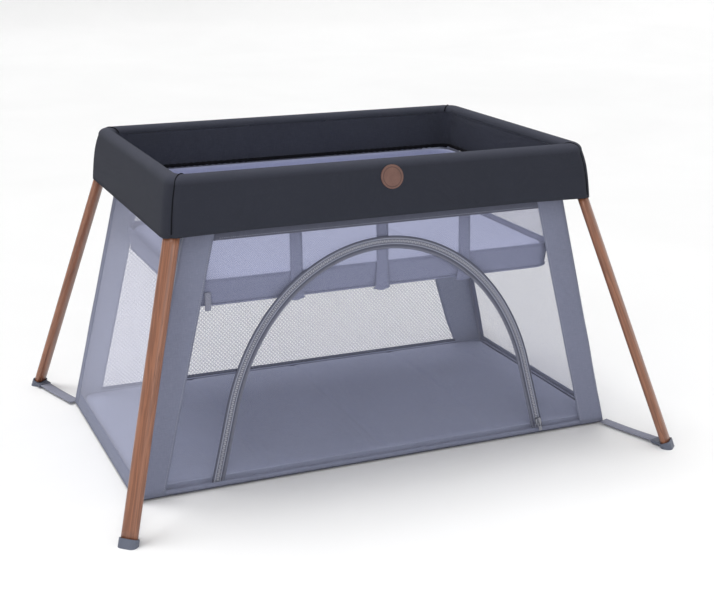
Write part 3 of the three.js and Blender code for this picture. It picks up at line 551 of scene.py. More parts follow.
# each row: name, dark and light colour, threads a metre, roughness, sheen, depth of its creases
CLOTHS = {
    "cover_lining": ("charcoal_lining", (0.028, 0.030, 0.042), (0.054, 0.058, 0.078), 1100.0, 0.94, 0.02, 0.0012),
    # painted shade: the piping is near-black, darker than the cover, so the corner seam welts show the shadow of their
    # grooves; the gathered hems wear it too
    "piping": ("charcoal_piping", (0.004, 0.004, 0.006), (0.010, 0.010, 0.014), 1400.0, 0.95, 0.0, 0.0004),
    "inner_band": ("back_band", (0.290, 0.315, 0.420), (0.380, 0.410, 0.530), 1300.0, 0.85, 0.1, 0.0012),
    "band": ("grey_band", (0.175, 0.190, 0.265), (0.245, 0.262, 0.360), 1300.0, 0.85, 0.1, 0.0012),
    "dark_band": ("dark_grey_band", (0.085, 0.090, 0.125), (0.130, 0.138, 0.190), 1300.0, 0.85, 0.1, 0.0012),
    "floor": ("tub_base_cloth", (0.100, 0.105, 0.140), (0.150, 0.157, 0.205), 1100.0, 0.88, 0.1, 0.0010),
    "basket": ("bassinet_side_cloth", (0.185, 0.200, 0.305), (0.255, 0.275, 0.405), 1200.0, 0.88, 0.1, 0.0012),
    "basket_top": ("bassinet_binding", (0.30, 0.32, 0.48), (0.42, 0.45, 0.64), 1200.0, 0.88, 0.1, 0.0008),
    "webbing": ("grey_webbing", (0.20, 0.21, 0.27), (0.32, 0.33, 0.41), 650.0, 0.8, 0.1, 0.0003),
    "tape": ("zip_tape", (0.135, 0.142, 0.185), (0.210, 0.220, 0.285), 1500.0, 0.92, 0.05, 0.0003),
    "edge": ("zip_edge_tape", (0.27, 0.285, 0.36), (0.38, 0.40, 0.49), 1500.0, 0.9, 0.05, 0.0002),
}
PAD_CLOTHS = {
    "mattress": ("mattress_cloth", (0.285, 0.308, 0.425), (0.365, 0.395, 0.540), 1100.0, 0.88, 0.1, 0.0012),
    "pad": ("bassinet_cloth", (0.400, 0.425, 0.600), (0.500, 0.530, 0.740), 1200.0, 0.88, 0.1, 0.0012),
}
# each row: name, tint, pitch of the large and of the fine diamonds, how solid its holes and its yarns are
NETS = {
    "net_front": ("front_netting", (0.30, 0.315, 0.42), 0.0036, 0.0012, 0.08, 0.22),
    "net_side": ("side_netting", (0.54, 0.56, 0.72), 0.0048, 0.0014, 0.26, 0.50),
    "net_back": ("back_netting", (0.74, 0.74, 0.84), 0.0092, 0.0018, 0.04, 0.72),
    "net_basket": ("bassinet_netting", (0.42, 0.44, 0.60), 0.0045, 0.0013, 0.12, 0.28),
}
# each row: name, dark and light colour, roughness
PLASTICS = {
    "black": ("black_moulding", (0.012, 0.012, 0.015), (0.026, 0.027, 0.031), 0.5),
    "grey": ("grey_moulding", (0.095, 0.108, 0.150), (0.135, 0.150, 0.200), 0.48),
    "teeth": ("zip_teeth", (0.33, 0.34, 0.39), (0.48, 0.49, 0.55), 0.38),
}
METALS = {
    "tube": ("drawn_tube", (0.36, 0.37, 0.39), (0.52, 0.53, 0.55), 0.33),
    "zinc": ("cast_zinc", (0.30, 0.31, 0.35), (0.46, 0.47, 0.52), 0.36),
    "pin": ("pin_steel", (0.40, 0.41, 0.43), (0.56, 0.57, 0.59), 0.28),
}


def make_materials():
    """Every finish under its short name."""
    paints = {"walnut": walnut(), "badge": badge_leather((0.0, -0.3205, 0.616))}
    # the cover's crown, from 0.632 to 0.649 m up, is painted lighter: painted light on its top
    paints["cover"] = cloth(
        "charcoal_jersey", (0.022, 0.024, 0.034), (0.037, 0.040, 0.054), 900.0, 0.94, 0.02, 0.0010, knit=True,
        painted_top_light=((0.062, 0.066, 0.088), 0.632, 0.649),
    )
    for rows, kind in ((CLOTHS, cloth), (NETS, netting), (PLASTICS, moulded), (METALS, metal)):
        paints.update({finish: kind(*row) for finish, row in rows.items()})
    paints.update({finish: cloth(*row, use_uv=False) for finish, row in PAD_CLOTHS.items()})
    return paints


set_camera()
PAINTS = make_materials()
set_studio()


# ---------- padded rim cover ----------
def rim_stations():
    """Stations of one half's rim from x = 0 at the front, round both corners, to x = 0 at the back, closer together
    over the hub. A station is its part, its side, and its share of x, its corner angle or its share of y."""
    over_hub = np.linspace(0.04, 0.27, 22)[:-1]
    shares = np.concatenate([[0.0, 0.02], over_hub, np.linspace(0.27, 1, 17)])[:-1]
    stations = [("side", -1, x) for x in shares]
    stations += [("corner", -1, math.radians(a)) for a in np.linspace(-90, 0, 9)]
    stations += [("end", 0, y) for y in np.linspace(-1, 1, 20)[1:-1]]
    stations += [("corner", 1, math.radians(a)) for a in np.linspace(0, 90, 9)]
    return stations + [("side", 1, x) for x in shares[::-1]]


def rim_points(end, stations, offsets, heights):
    """Points of the cover: the rounded rectangle of the rim grown by each offset, at each height. Corners are arcs
    whose radius grows a little with the offset; the sides and end are straight between the arcs' ends."""
    radius = 0.026 + 0.1 * offsets
    cx = RIM_X + offsets - radius
    cy = RIM_Y + offsets - radius
    rows = []
    for part, side, value in stations:
        if part == "side":
            x, y = cx * value, side * (cy + radius)
        elif part == "corner":
            x, y = cx + radius * math.cos(value), side * cy + radius * math.sin(value)
        else:
            x, y = cx + radius, cy * value
        rows.append(np.stack([end * x, y, heights], -1))
    return np.array(rows)


def outer_profile(n_face=14, n_crown=12):
    """The cover's section as offset and height: a curled hem, the bulging outer face as a parabola through three
    guide points, and the crown as a half circle."""
    t = np.linspace(0, 1, n_face)
    face_o = (1 - t) ** 2 * 0.031 + 2 * t * (1 - t) * 0.0265 + t ** 2 * CROWN_RADIUS
    face_z = (1 - t) ** 2 * HEM_Z + 2 * t * (1 - t) * 0.600 + t ** 2 * CROWN_Z
    a = np.linspace(0, np.pi, n_crown)[1:]
    hem = np.array([[0.0245, 0.5475], [0.0262, 0.5442], [0.0288, 0.5424]])
    offsets = np.concatenate([hem[:, 0], face_o, CROWN_RADIUS * np.cos(a)])
    heights = np.concatenate([hem[:, 1], face_z, CROWN_Z + CROWN_RADIUS * np.sin(a)])
    return offsets, heights


def along_and_across(points):
    """UV in metres from the lengths of the grid's middle column and middle row."""
    return cloth_map(lengths_along(points[:, points.shape[1] // 2]), lengths_along(points[len(points) // 2]))


def padded_swell(points, stations, heights):
    """Foam fullness: the face stands out between the corner seams and between crown and hem, with slow unevenness;
    at each corner seam it sinks into a narrow groove. Below the belly the cloth droops, most at the ends."""
    n = len(stations)
    seam, full = np.zeros(n), np.zeros(n)
    for i, (part, _, value) in enumerate(stations):
        if part == "corner":
            seam[i] = math.exp(-((math.degrees(abs(value)) - SEAM_ANGLE) / 9.0) ** 2)
            full[i] = 0.25
        else:
            full[i] = 1 - abs(value) ** 6
    up = np.clip((heights - HEM_Z) / (CROWN_Z - HEM_Z), 0, 1)
    belly = np.sin(np.pi * up) ** 0.8
    wave = 0.35 * np.sin(np.arange(n) * 0.55)[:, None] * np.cos(up * 5.0)[None]
    swell = 0.0016 * (full[:, None] * belly[None] * (1 + wave))
    rise = swell - 0.0026 * seam[:, None] * (0.35 + 0.65 * (up < 1))[None]
    normal = np.cross(np.gradient(points, axis=0), np.gradient(points, axis=1))
    normal /= np.maximum(np.linalg.norm(normal, axis=2, keepdims=True), 1e-9)
    sign = np.sign((normal * points * (1, 1, 0)).sum(2, keepdims=True).mean())
    swollen = points + normal * sign * rise[..., None]
    droop = np.where([part == "side" for part, _, _ in stations], 0.004, 0.009)
    droop = np.convolve(np.pad(droop, 6, "edge"), np.ones(13) / 13, "valid")
    swollen[..., 2] -= droop[:, None] * np.clip((0.605 - heights) / (0.605 - HEM_Z), 0, 1)[None]
    return swollen


def bend_over_hub(piece):
    """Bakes the cover cloth's placement into its points."""
    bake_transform(piece)


def make_cover():
    """The padded shell of each half, with its liners, gathered hems and corner seams."""
    offsets, heights = outer_profile()
    for (end, label), (_, side) in zip(ENDS, SIDES):
        stations = rim_stations()
        points = padded_swell(rim_points(end, stations, offsets, heights), stations, heights)
        shell = clean(surface(label + "_cover_shell", points, uv=along_and_across(points), flip=end < 0))
        finish_as(wall_thickness(shell, 0.0020, rim=False), "cover")
        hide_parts(label + "_rim_cover", side + "_cover_bridge")
        bend_over_hub(shell)
        make_liners(end, label, stations)
        make_seams(end, label)


def make_liners(end, label, stations):
    """The inner face, from the crown down to the gathered hem and slightly bowed, in three lengths: front, end and
    back."""
    z = np.linspace(0.6335, 0.5565, 10)
    offset = -CROWN_RADIUS - 0.0022 * np.sin(np.pi * (CROWN_Z - z) / 0.079)
    split = {
        "front": [s for s in stations if s[:2] == ("side", -1)] + [("corner", -1, -math.pi / 2)],
        "end": [s for s in stations if s[0] != "side"],
        "back": [("corner", 1, math.pi / 2)] + [s for s in stations if s[:2] == ("side", 1)],
    }
    for part, own in split.items():
        points = rim_points(end, own, offset, z)
        piece = clean(surface(f"{label}_{part}_cover_liner", points, uv=along_and_across(points), flip=end < 0))
        outwards(piece, (end * 0.2, 0, 0.6), towards=True)
        finish_as(wall_thickness(piece, 0.0012, rim=False), "cover_lining")
        for cloth_piece in (piece, gathered_hem(end, f"{label}_{part}_gathered_hem", own)):
            if part == "end":
                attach(cloth_piece, label + "_half")
                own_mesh(cloth_piece)
            else:
                bend_over_hub(cloth_piece)


def gathered_hem(end, name, own):
    """The elastic edge under the liner: a soft roll whose offset ripples along it."""
    section = oval(0.0030, 0.0042)
    dense = []
    for a, b in zip(own[:-1], own[1:]):
        for t in np.linspace(0, 1, 5)[:-1]:
            dense.append((a[0], a[1], a[2] + t * (b[2] - a[2])) if a[0] == b[0] else (a if t < 0.5 else b))
    dense.append(own[-1])
    unique = [dense[0]] + [d for d, e in zip(dense[1:], dense[:-1]) if d != e]
    points = rim_points(end, unique, section[:, 0] - 0.0172, 0.5530 + section[:, 1])
    ripple = 0.0005 * np.sin(np.arange(len(unique)) * 1.9)[:, None, None]
    points = capped(points + ripple * (points - points.mean(1, keepdims=True)) / 0.003)
    around = np.linspace(0, 2 * np.pi, 9)[:-1] * 0.004
    piece = clean(surface(name, points, uv=cloth_map(lengths_along(points.mean(1)), around), close_v=True))
    return finish_as(piece, "piping")


def make_seams(end, label):
    """Corner seams of the outer face: a thin welt of oval section that follows the section at one corner angle. Its
    near-black piping colour is painted shade, standing for the shadow in the seam's groove.
    """
    offsets, heights = outer_profile(18, 14)
    angle = math.radians(SEAM_ANGLE)
    for side, word in SIDES:
        line = rim_points(end, [("corner", side, side * angle)], offsets[2:-1] - 0.0012, heights[2:-1])[0]
        away = np.array([end * math.cos(angle), side * math.sin(angle), 0.0])
        tangent = unit(np.gradient(line, axis=0))
        across = unit(np.cross(tangent, away))
        name = f"{label}_{word}_corner_seam"
        piece = swept(name, line, np.cross(across, tangent), across, oval(0.0013, 0.0010))
        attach(finish_as(piece, "piping"), label + "_half")


make_cover()


# ---------- tub walls ----------
def half_at(low, top, z):
    """A half size that changes evenly with height, from low at the walls' foot to top at their upper edge."""
    return low + (top - low) * (z - WALL_LOW) / (WALL_TOP - WALL_LOW)


def long_edge(z):
    """Half the tub's length at a height."""
    return half_at(LOW_X, TOP_X, z)


def short_edge(z):
    """Half the tub's width at a height."""
    return half_at(LOW_Y, TOP_Y, z)


def front_band_edge(z):
    """Inner edge of the front corner band, which slopes outwards as it goes down."""
    return 0.3493 + (WALL_TOP - z) * 0.2396


def back_left_edge(z):
    """Inner edge of the back left band, which keeps one width all the way down."""
    return long_edge(z) - 0.060


def back_right_edge(z):
    """Inner edge of the back right band, which widens upwards."""
    return np.interp(z, [0.006, 0.03, 0.09, 0.20, 0.552], [0.462, 0.457, 0.431, 0.396, 0.343])


def end_band_edge(z):
    """Inner edge of the narrow bands on the end walls."""
    return short_edge(z) - 0.026


def past(edge, extra, sign=1):
    """The same edge moved outwards, for a cloth that tucks under a band, or its mirror image."""
    def moved(z):
        return sign * (edge(z) + extra)
    return moved


def wall_normal(wall):
    """A wall's outward direction, tipped up by its lean: the angle whose tangent is the wall's inset over its height."""
    axis, sign = WALLS[wall]
    low, top = (LOW_Y, TOP_Y) if axis == 0 else (LOW_X, TOP_X)
    lean = math.atan2(low - top, WALL_TOP - WALL_LOW)
    flat = sign * math.cos(lean)
    return np.array([0.0, flat, math.sin(lean)] if axis == 0 else [flat, 0.0, math.sin(lean)])


def billow(wall, s, z):
    """How far stretched cloth stands off the flat wall: a shallow inward belly between its edges, plus drag lines
    that run in from the lower corners and from the top band."""
    half = long_edge(z) if WALLS[wall][0] == 0 else short_edge(z)
    a = np.clip(s / half, -1, 1)
    t = (z - WALL_LOW) / (WALL_TOP - WALL_LOW)
    height_share = np.sin(np.pi * np.clip(t, 0, 1))
    corner = np.abs(a)
    belly = -0.0035 * (1 - a ** 2) * height_share
    drag = 0.0006 * np.sin(34 * (corner - 0.6 * t)) * corner ** 2 * np.clip(1 - t, 0, 1)
    slow = 0.0005 * np.sin(s * 21 + z * 9) * height_share
    return belly + drag + slow


def on_wall(wall, s, z, off=0.0):
    """Point of a wall at s metres along it from its middle and height z, standing off by its billow plus off."""
    axis, sign = WALLS[wall]
    base = [s, sign * short_edge(z), z] if axis == 0 else [sign * long_edge(z), s, z]
    return np.stack(base, -1) + wall_normal(wall) * (billow(wall, s, z) + off)[..., None]


def follow_tub(piece, body="centre"):
    """Tub cloth is parented to a body, the centre unless another is given, with its own copy of its mesh."""
    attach(piece, body)
    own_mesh(piece)
    return piece


def wall_sheet(wall, name, s, z, off, finish, thickness=0.0, stands_for=None,
               body="centre"):
    """A stretched sheet on a wall from grids of s and z, facing outwards. Netting has no thickness."""
    points = on_wall(wall, s, z, off)
    piece = clean(surface(name, points, uv=np.stack([s, z], -1)))
    outwards(piece, tuple(points.reshape(-1, 3).mean(0) - wall_normal(wall)))
    if thickness:
        wall_thickness(piece, thickness)
    finish_as(piece, finish)
    if stands_for:
        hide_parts(stands_for)
    return follow_tub(piece, body)


def strip_grid(z0, z1, inner, outer, rows, columns):
    """s and z of a strip between two functions of height."""
    z = np.linspace(z0, z1, rows)[:, None] * np.ones((1, columns))
    t = np.linspace(0, 1, columns)[None]
    a, b = inner(z[:, :1]), outer(z[:, :1])
    return a + (b - a) * t, z


def upright_band(wall, name, sign, inner, outer, off, finish, columns=10):
    """A band from the wall's foot to its top between two edges."""
    s, z = strip_grid(BAND_LOW, BAND_TOP, inner, outer, 36, columns)
    wall_sheet(wall, name, sign * s, z, off, finish, 0.0010)


def arch_outline(inset, count_leg=14, count_arc=90):
    """The door's outline at an inset, as s and z on the wall: two straight feet and a half ellipse between them."""
    foot, half, rise, springing = 0.383 - inset, 0.360 - inset, 0.440 - inset, 0.041
    start = math.radians(16)
    shoulder = (half * math.cos(start), springing + rise * math.sin(start))
    leg = np.linspace(0, 1, count_leg)[:-1, None]
    right = np.array([foot, 0.011]) * (1 - leg) + np.array(shoulder) * leg
    a = np.linspace(start, math.pi - start, count_arc)
    arc = np.stack([half * np.cos(a), springing + rise * np.sin(a)], -1)
    path = np.concatenate([right, arc, right[::-1] * (-1, 1)])
    path[:, 1] = WALL_LOW + path[:, 1] * math.cos(math.atan2(LOW_Y - TOP_Y, WALL_TOP - WALL_LOW))
    return path


def make_front_netting():
    """Netting round the door: rays from the arch's outline out to the wall's edge, evenly stepped along each ray.
    Below the door, a straight strip closes the wall."""
    arch = arch_outline(-0.001)
    low = arch[0, 1]
    centre = np.array([0.0, low])
    way = unit(arch - centre)
    slope = (TOP_X - LOW_X) / (WALL_TOP - WALL_LOW)
    to_top = np.where(way[:, 1] > 1e-6, (0.548 - low) / np.maximum(way[:, 1], 1e-6), 9.0)
    to_side = (LOW_X + slope * (low - WALL_LOW)) / np.maximum(np.abs(way[:, 0]) - slope * way[:, 1], 1e-9)
    outer = centre + way * np.minimum(to_top, to_side)[:, None]
    t = np.linspace(0, 1, 16)[None, :, None]
    grid = arch[:, None] * (1 - t) + outer[:, None] * t
    wall_sheet("front", "front_netting_panel", grid[..., 0], grid[..., 1], 0.0, "net_front",
               stands_for="tub_front_wall")
    z, s = np.meshgrid(np.linspace(0.007, low, 3), np.linspace(-1, 1, 60), indexing="ij")
    # painted light: the front hem takes the paler band cloth, not the dark band of the back hem, to lift the shade
    # along the front wall's foot
    wall_sheet("front", "front_bottom_hem", s * long_edge(z) * 0.999, z, 0.0006, "band",
               0.0012)


def make_door():
    """Door cloth: rows from foot to crown, each as wide as the arch there, with a bound edge."""
    outline = arch_outline(0.0225)
    right = outline[: len(outline) // 2 + 1]
    z = np.concatenate([np.linspace(right[0, 1], 0.36, 30), np.linspace(0.36, right[-1, 1] - 0.0004, 34)[1:]])
    half = np.interp(z, right[:, 1], right[:, 0])
    s = np.linspace(-1, 1, 60)[None] * half[:, None]
    wall_sheet("front", "door_netting", s, z[:, None] * np.ones((1, 60)), 0.0, "net_front",
               stands_for="door_flap", body="door")
    arch_strip("door_edge_binding", 0.0245, 0.0028, 0.0012, 0.0, "tape", 6, "door")


def arch_strip(name, inset, half_width, thickness, lift, finish, sides=8, body="centre"):
    """A flattened oval section carried along the arch at an inset, on the front wall."""
    path = arch_outline(inset)
    line = on_wall("front", path[:, 0], path[:, 1], lift)
    normal = wall_normal("front")[None]
    side = np.cross(unit(np.gradient(line, axis=0)), normal)
    piece = swept(name, line, normal, side, oval(half_width, thickness, sides))
    return follow_tub(finish_as(piece, finish), body)


def make_zip():
    """Zip round the door: a flat tape with rounded piped edges, a paler line inside each, and teeth down its
    middle, all carried along insets of the same outline."""
    tape = arch_strip("door_zip_tape", TAPE_INSET, 0.0102, 0.0009, 0.0, "tape", 12)
    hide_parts("door_zip_track")
    arch_strip("door_zip_outer_piping", 0.0022, 0.0019, 0.0016, 0.0004, "dark_band")
    arch_strip("door_zip_inner_piping", 0.0202, 0.0016, 0.0013, 0.0004, "dark_band")
    arch_strip("door_zip_outer_edge", 0.0058, 0.0012, 0.0008, 0.0010, "edge")
    arch_strip("door_zip_inner_edge", 0.0172, 0.0009, 0.0007, 0.0010, "edge")
    path = arch_outline(TAPE_INSET, 60, 420)
    line = on_wall("front", path[:, 0], path[:, 1], 0.0011)
    teeth = blocks_along("door_zip_teeth", line, wall_normal("front"), 0.0042, (0.0021, 0.0011, 0.0012), 0.00055)
    follow_tub(finish_as(teeth, "teeth"))


def blocks_along(name, line, normal, spacing, size, shift=0.0):
    """Small blocks at an even spacing along a line: each is a box of that half width, half length and height, turned
    to the line and standing on the surface, and set by turns to the left and right by shift."""
    run = lengths_along(line)
    at = np.arange(0.006, run[-1] - 0.004, spacing)
    place = np.stack([np.interp(at, run, line[:, i]) for i in range(3)], -1)
    tangent = unit(np.gradient(place, axis=0))
    side = np.cross(tangent, normal[None])
    local = np.array([[x, y, z] for x in (-1, 1) for y in (-1, 1) for z in (0, 1)], float) * np.array(size)
    turn = np.where(np.arange(len(at)) % 2 == 0, shift, -shift)
    verts = (
        place[:, None]
        + (local[None, :, :1] + turn[:, None, None]) * side[:, None]
        + local[None, :, 1:2] * tangent[:, None]
        + local[None, :, 2:] * normal
    )
    quads = np.array([[0, 1, 3, 2], [4, 6, 7, 5], [0, 4, 5, 1], [2, 3, 7, 6], [0, 2, 6, 4], [1, 5, 7, 3]])
    faces = (quads[None] + 8 * np.arange(len(at))[:, None, None]).reshape(-1, 4)
    return clean(mesh_piece(name, verts.reshape(-1, 3), faces, smooth=False), 1e-7)


def stitch_row(wall, name, s, z, off):
    """A row of short stitches along a line on a wall."""
    row = blocks_along(name, on_wall(wall, s, z, off), wall_normal(wall), 0.0044, (0.0004, 0.0014, 0.0004))
    follow_tub(finish_as(row, "edge"))


def make_stitching():
    """Stitches 4 mm in from the inner edge of every upright band, and under the front and back top bands."""
    z = np.linspace(0.012, 0.508, 60)
    for end, label in ENDS:
        stitch_row("front", f"front_{label}_band_stitches", end * (front_band_edge(z) + 0.004), z, 0.0009)
        edge = back_left_edge if end < 0 else back_right_edge
        stitch_row("back", f"back_{label}_band_stitches", end * (edge(z) + 0.004), z, 0.0006)
        for side, word in SIDES:
            stitch_row(label, f"{label}_{word}_edge_stitches", side * (short_edge(z) - 0.022), z, 0.0006)
    for wall in ("front", "back"):
        stitch_row(wall, wall + "_top_band_stitches", np.linspace(-0.35, 0.35, 60), np.full(60, 0.516), 0.0004)


def make_front_bands():
    """The front wall's corner bands and its top band."""
    for end, label in ENDS:
        name = f"front_{label}_corner_band"
        upright_band("front", name, end, front_band_edge, long_edge, 0.0009, "band")
    s, z = strip_grid(*TOP_BAND, past(front_band_edge, 0.004, -1), past(front_band_edge, 0.004), 5, 70)
    wall_sheet("front", "front_top_band", s, z, 0.0004, "dark_band", 0.0010)


def make_back_wall():
    """The back wall's netting, corner bands, hem and top band."""
    edges = past(back_left_edge, 0.004, -1), past(back_right_edge, 0.004)
    low = 0.030
    s, z = strip_grid(low, 0.548, *edges, 26, 60)
    wall_sheet("back", "back_netting_panel", s, z, 0.0, "net_back",
               stands_for="tub_back_wall")
    for (end, label), edge, width in zip(ENDS, (back_left_edge, back_right_edge), (0.060, 0.085)):
        upright_band("back", f"back_{label}_corner_band", end, edge, long_edge, 0.0006, "inner_band")
    s, z = strip_grid(BAND_LOW, low + 0.004, *edges, 5, 60)
    wall_sheet("back", "back_bottom_hem", s, z, 0.0003, "dark_band", 0.0010)
    s, z = strip_grid(*TOP_BAND, *edges, 5, 60)
    wall_sheet("back", "back_top_band", s, z, 0.0004, "dark_band", 0.0010)


def make_end_walls():
    """Each end wall's netting, its two edge bands, and its bottom and top bands."""
    edges = past(end_band_edge, 0.003, -1), past(end_band_edge, 0.003)
    for _, wall in ENDS:
        behind = f"tub_{wall}_wall"
        s, z = strip_grid(0.034, 0.548, *edges, 26, 34)
        wall_sheet(wall, wall + "_netting_panel", s, z, 0.0, "net_side",
                   stands_for=behind)
        for side, word in SIDES:
            name = f"{wall}_{word}_edge_band"
            upright_band(wall, name, side, end_band_edge, short_edge, 0.0006, "band", 5)
        for word, span, finish in (("bottom", (BAND_LOW, 0.038), "band"), ("top", TOP_BAND, "dark_band")):
            s, z = strip_grid(*span, *edges, 5, 34)
            wall_sheet(wall, f"{wall}_{word}_band", s, z, 0.0004, finish, 0.0010)


def make_corner_piping():
    """A thin bound edge down each of the tub's four upright corners and round its lower edge."""
    section = oval(0.0018, 0.0014)
    z = np.linspace(0.0075, 0.5505, 40)
    for ex, ey, corner in CORNERS:
        line = np.stack([ex * (long_edge(z) - 0.0005), ey * (short_edge(z) - 0.0005), z], -1)
        out, side = np.array([[ex, ey, 0.0]]) / math.sqrt(2), np.array([[-ey, ex, 0.0]]) / math.sqrt(2)
        piece = swept(corner + "_tub_piping", line, out, side, section)
        follow_tub(finish_as(piece, "edge"))
    t = np.linspace(-1, 1, 41)[:-1]
    along, across = np.stack([t * 0.5385, 0 * t - 0.2905], -1), np.stack([0 * t + 0.5385, t * 0.2905], -1)
    loop = np.concatenate([along, across, -along, -across])
    line = np.concatenate([loop, np.full((len(loop), 1), 0.0085)], 1)
    out = np.concatenate([unit(loop), np.zeros((len(loop), 1))], 1)
    low = swept("tub_lower_piping", line, out, np.array([[0.0, 0.0, 1.0]]), section, close=True)
    follow_tub(finish_as(low, "band"))


make_front_netting()
make_door()
make_zip()
make_front_bands()
make_back_wall()
make_end_walls()
make_corner_piping()
make_stitching()


# ---------- padded pieces ----------
def rounded_ring(hx, hy, r, z, n_side=16, n_corner=6):
    """Points of a rounded rectangle at height z, the same count for every size."""
    arcs = []
    for qx, qy, start in ((1, -1, -90), (1, 1, 0), (-1, 1, 90), (-1, -1, 180)):
        a = np.radians(np.linspace(start, start + 90, n_corner))
        cx, cy = qx * max(hx - r, 0), qy * max(hy - r, 0)
        arcs.append(np.stack([cx + r * np.cos(a), cy + r * np.sin(a)], -1))
    t = np.linspace(0, 1, n_side)[1:-1, None]
    loop = []
    for arc, following in zip(arcs, arcs[1:] + arcs[:1]):
        loop += [arc, arc[-1] * (1 - t) + following[0] * t]
    flat = np.concatenate(loop)
    return np.concatenate([flat, np.full((len(flat), 1), z)], 1)


def box_shell(half_x, half_y, low, high, corner, edge):
    """A soft slab as one closed surface: rings round a rounded rectangle that shrink over its top and bottom.
    Ring k has a height and an inset, from the middle of the bottom, round the edge, to the middle of the top."""
    t = np.linspace(0, np.pi / 2, 5)
    reach = min(half_x, half_y) - edge
    below, above = np.linspace(1.0, 0.04, 12)[:-1], np.linspace(0.04, 1.0, 12)[1:]
    turn_in, turn_up = edge * (1 - np.sin(t)), edge * (1 - np.cos(t))
    insets = np.concatenate([edge + reach * below, turn_in, turn_up, edge + reach * above])
    sides = [low + turn_up, high - edge + edge * np.sin(t)]
    heights = np.concatenate([np.full(11, low), *sides, np.full(11, high)])
    rings = []
    for inset, z in zip(insets, heights):
        hx, hy = half_x - inset, max(half_y - inset, 0.0)
        r = min(corner, max(hy, 0.0005) * 0.98)
        rings.append(rounded_ring(max(hx, 0.001), max(hy, 0.0006), r, z))
    return np.array(rings)


def simulate_pad(piece, voxel, held, cap=0.004, frames=20):
    """Blows a remeshed copy of the pad up as cloth and gives back its points, none moved further than the cap. held
    picks the points that stay where they are."""
    remesh = piece.modifiers.new("remesh", "REMESH")
    remesh.mode = "VOXEL"
    remesh.voxel_size = voxel
    bpy.context.view_layer.objects.active = piece
    bpy.ops.object.modifier_apply(modifier=remesh.name)
    start = read_rows(piece.data.vertices, "co")
    group = piece.vertex_groups.new(name="held")
    group.add([int(i) for i in np.nonzero(held(start))[0]], 1.0, "REPLACE")
    sim = piece.modifiers.new("stuffing", "CLOTH")
    settings = sim.settings
    settings.quality = 4
    settings.mass = 0.25
    settings.tension_stiffness = 18
    settings.compression_stiffness = 10
    settings.bending_stiffness = 0.6
    settings.use_pressure = True
    settings.uniform_pressure_force = 3.0
    settings.effector_weights.gravity = 0.0
    settings.vertex_group_mass = "held"
    sim.point_cache.frame_start = 1
    sim.point_cache.frame_end = frames
    for f in range(1, frames + 1):
        bpy.context.scene.frame_set(f)
    solved = piece.evaluated_get(bpy.context.evaluated_depsgraph_get()).to_mesh()
    move = read_rows(solved.vertices, "co") - start
    move *= np.minimum(1.0, cap / np.maximum(np.linalg.norm(move, axis=1, keepdims=True), 1e-9))
    piece.modifiers.remove(sim)
    bpy.context.scene.frame_set(1)
    return start + move


def make_pad(name, half_x, half_y, low, high, corner, edge, voxel, channels, depth, crown):
    """A sewn foam pad: a closed slab a little smaller than its space, swollen as cloth and crowned, and then its
    sewn channels pressed in, where the top sinks towards each line by a bell-shaped amount."""
    piece = surface(name, box_shell(half_x, half_y, low, high, corner, edge), close_v=True)
    fill_poles(clean(piece, 1e-5))
    co = simulate_pad(piece, voxel, lambda p: p[:, 2] < low + 0.0035)
    middle = (low + high) / 2
    dome = np.clip(1 - (co[:, 0] / half_x) ** 2, 0, 1) ** 0.6 * np.clip(1 - (co[:, 1] / half_y) ** 2, 0, 1) ** 0.6
    co[:, 2] += crown * dome * (co[:, 2] > middle)
    sink = np.zeros(len(co))
    for x in channels:
        sink = np.maximum(sink, np.exp(-((co[:, 0] - x) / 0.006) ** 2))
    co[:, 2] -= depth * sink * np.clip((co[:, 2] - middle) / ((high - low) / 2), 0, 1)
    co[:, 2] = np.maximum(co[:, 2], low)
    piece.data.vertices.foreach_set("co", co.ravel())
    piece.data.update()
    piece.data.polygons.foreach_set("use_smooth", np.ones(len(piece.data.polygons), bool))
    smooth = piece.modifiers.new("smooth", "SUBSURF")
    smooth.levels = smooth.render_levels = 1
    return piece


def closed_welt(name, ring, radius):
    """A thin round roll along a closed level ring of points."""
    tangent = unit(np.roll(ring, -1, 0) - np.roll(ring, 1, 0))
    side = unit(np.cross(tangent, np.array([0.0, 0.0, 1.0])))
    return swept(name, ring, np.cross(side, tangent), side, oval(radius, radius), close=True)


def make_mattress():
    """The floor mattress with its welt, and the tub's base panel under it."""
    mat = make_pad("floor_mattress_pad", 0.5270, 0.2835, 0.0055, 0.0310, 0.030, 0.009, 0.0072,
                   (-0.2635, 0.0, 0.2635), 0.0040, 0.0012)
    finish_as(mat, "mattress")
    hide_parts("floor_mattress")
    follow_tub(mat)
    welt = closed_welt("mattress_welt", rounded_ring(0.5285, 0.2848, 0.030, 0.0265, 60, 8), 0.0016)
    follow_tub(finish_as(welt, "mattress"))
    x, y = np.meshgrid(np.linspace(-0.5375, 0.5375, 30), np.linspace(-0.2895, 0.2895, 18), indexing="ij")
    base = surface("tub_base_panel", np.stack([x, y, 0.0038 + 0 * x], -1), uv=np.stack([x, y], -1))
    wall_thickness(outwards(base, (0, 0, -1)), 0.0012, 0.0)
    finish_as(base, "floor")
    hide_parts("tub_floor")
    follow_tub(base)


make_mattress()


# ---------- bassinet ----------
def hung(z, low, top):
    """A size that changes evenly from the tray's top edge to the hung edge."""
    return low + (top - low) * np.clip((z - TRAY_TOP) / (BASKET_TOP - TRAY_TOP), 0, 1)


def basket_ring(z, extra=0.0):
    """Ring of the basket at a height: the tray's outline below, drawn in slightly to the hung edge above."""
    hx, hy = hung(z, TRAY_X, BASKET_X) + extra, hung(z, TRAY_Y, BASKET_Y) + extra
    return rounded_ring(hx, hy, 0.045 + extra, z, 44, 8)


def with_bassinet(piece, finish):
    """A piece of the bassinet: given its finish and parented to the bassinet, with its own copy of its mesh."""
    finish_as(piece, finish)
    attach(piece, "bassinet")
    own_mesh(piece)
    return piece


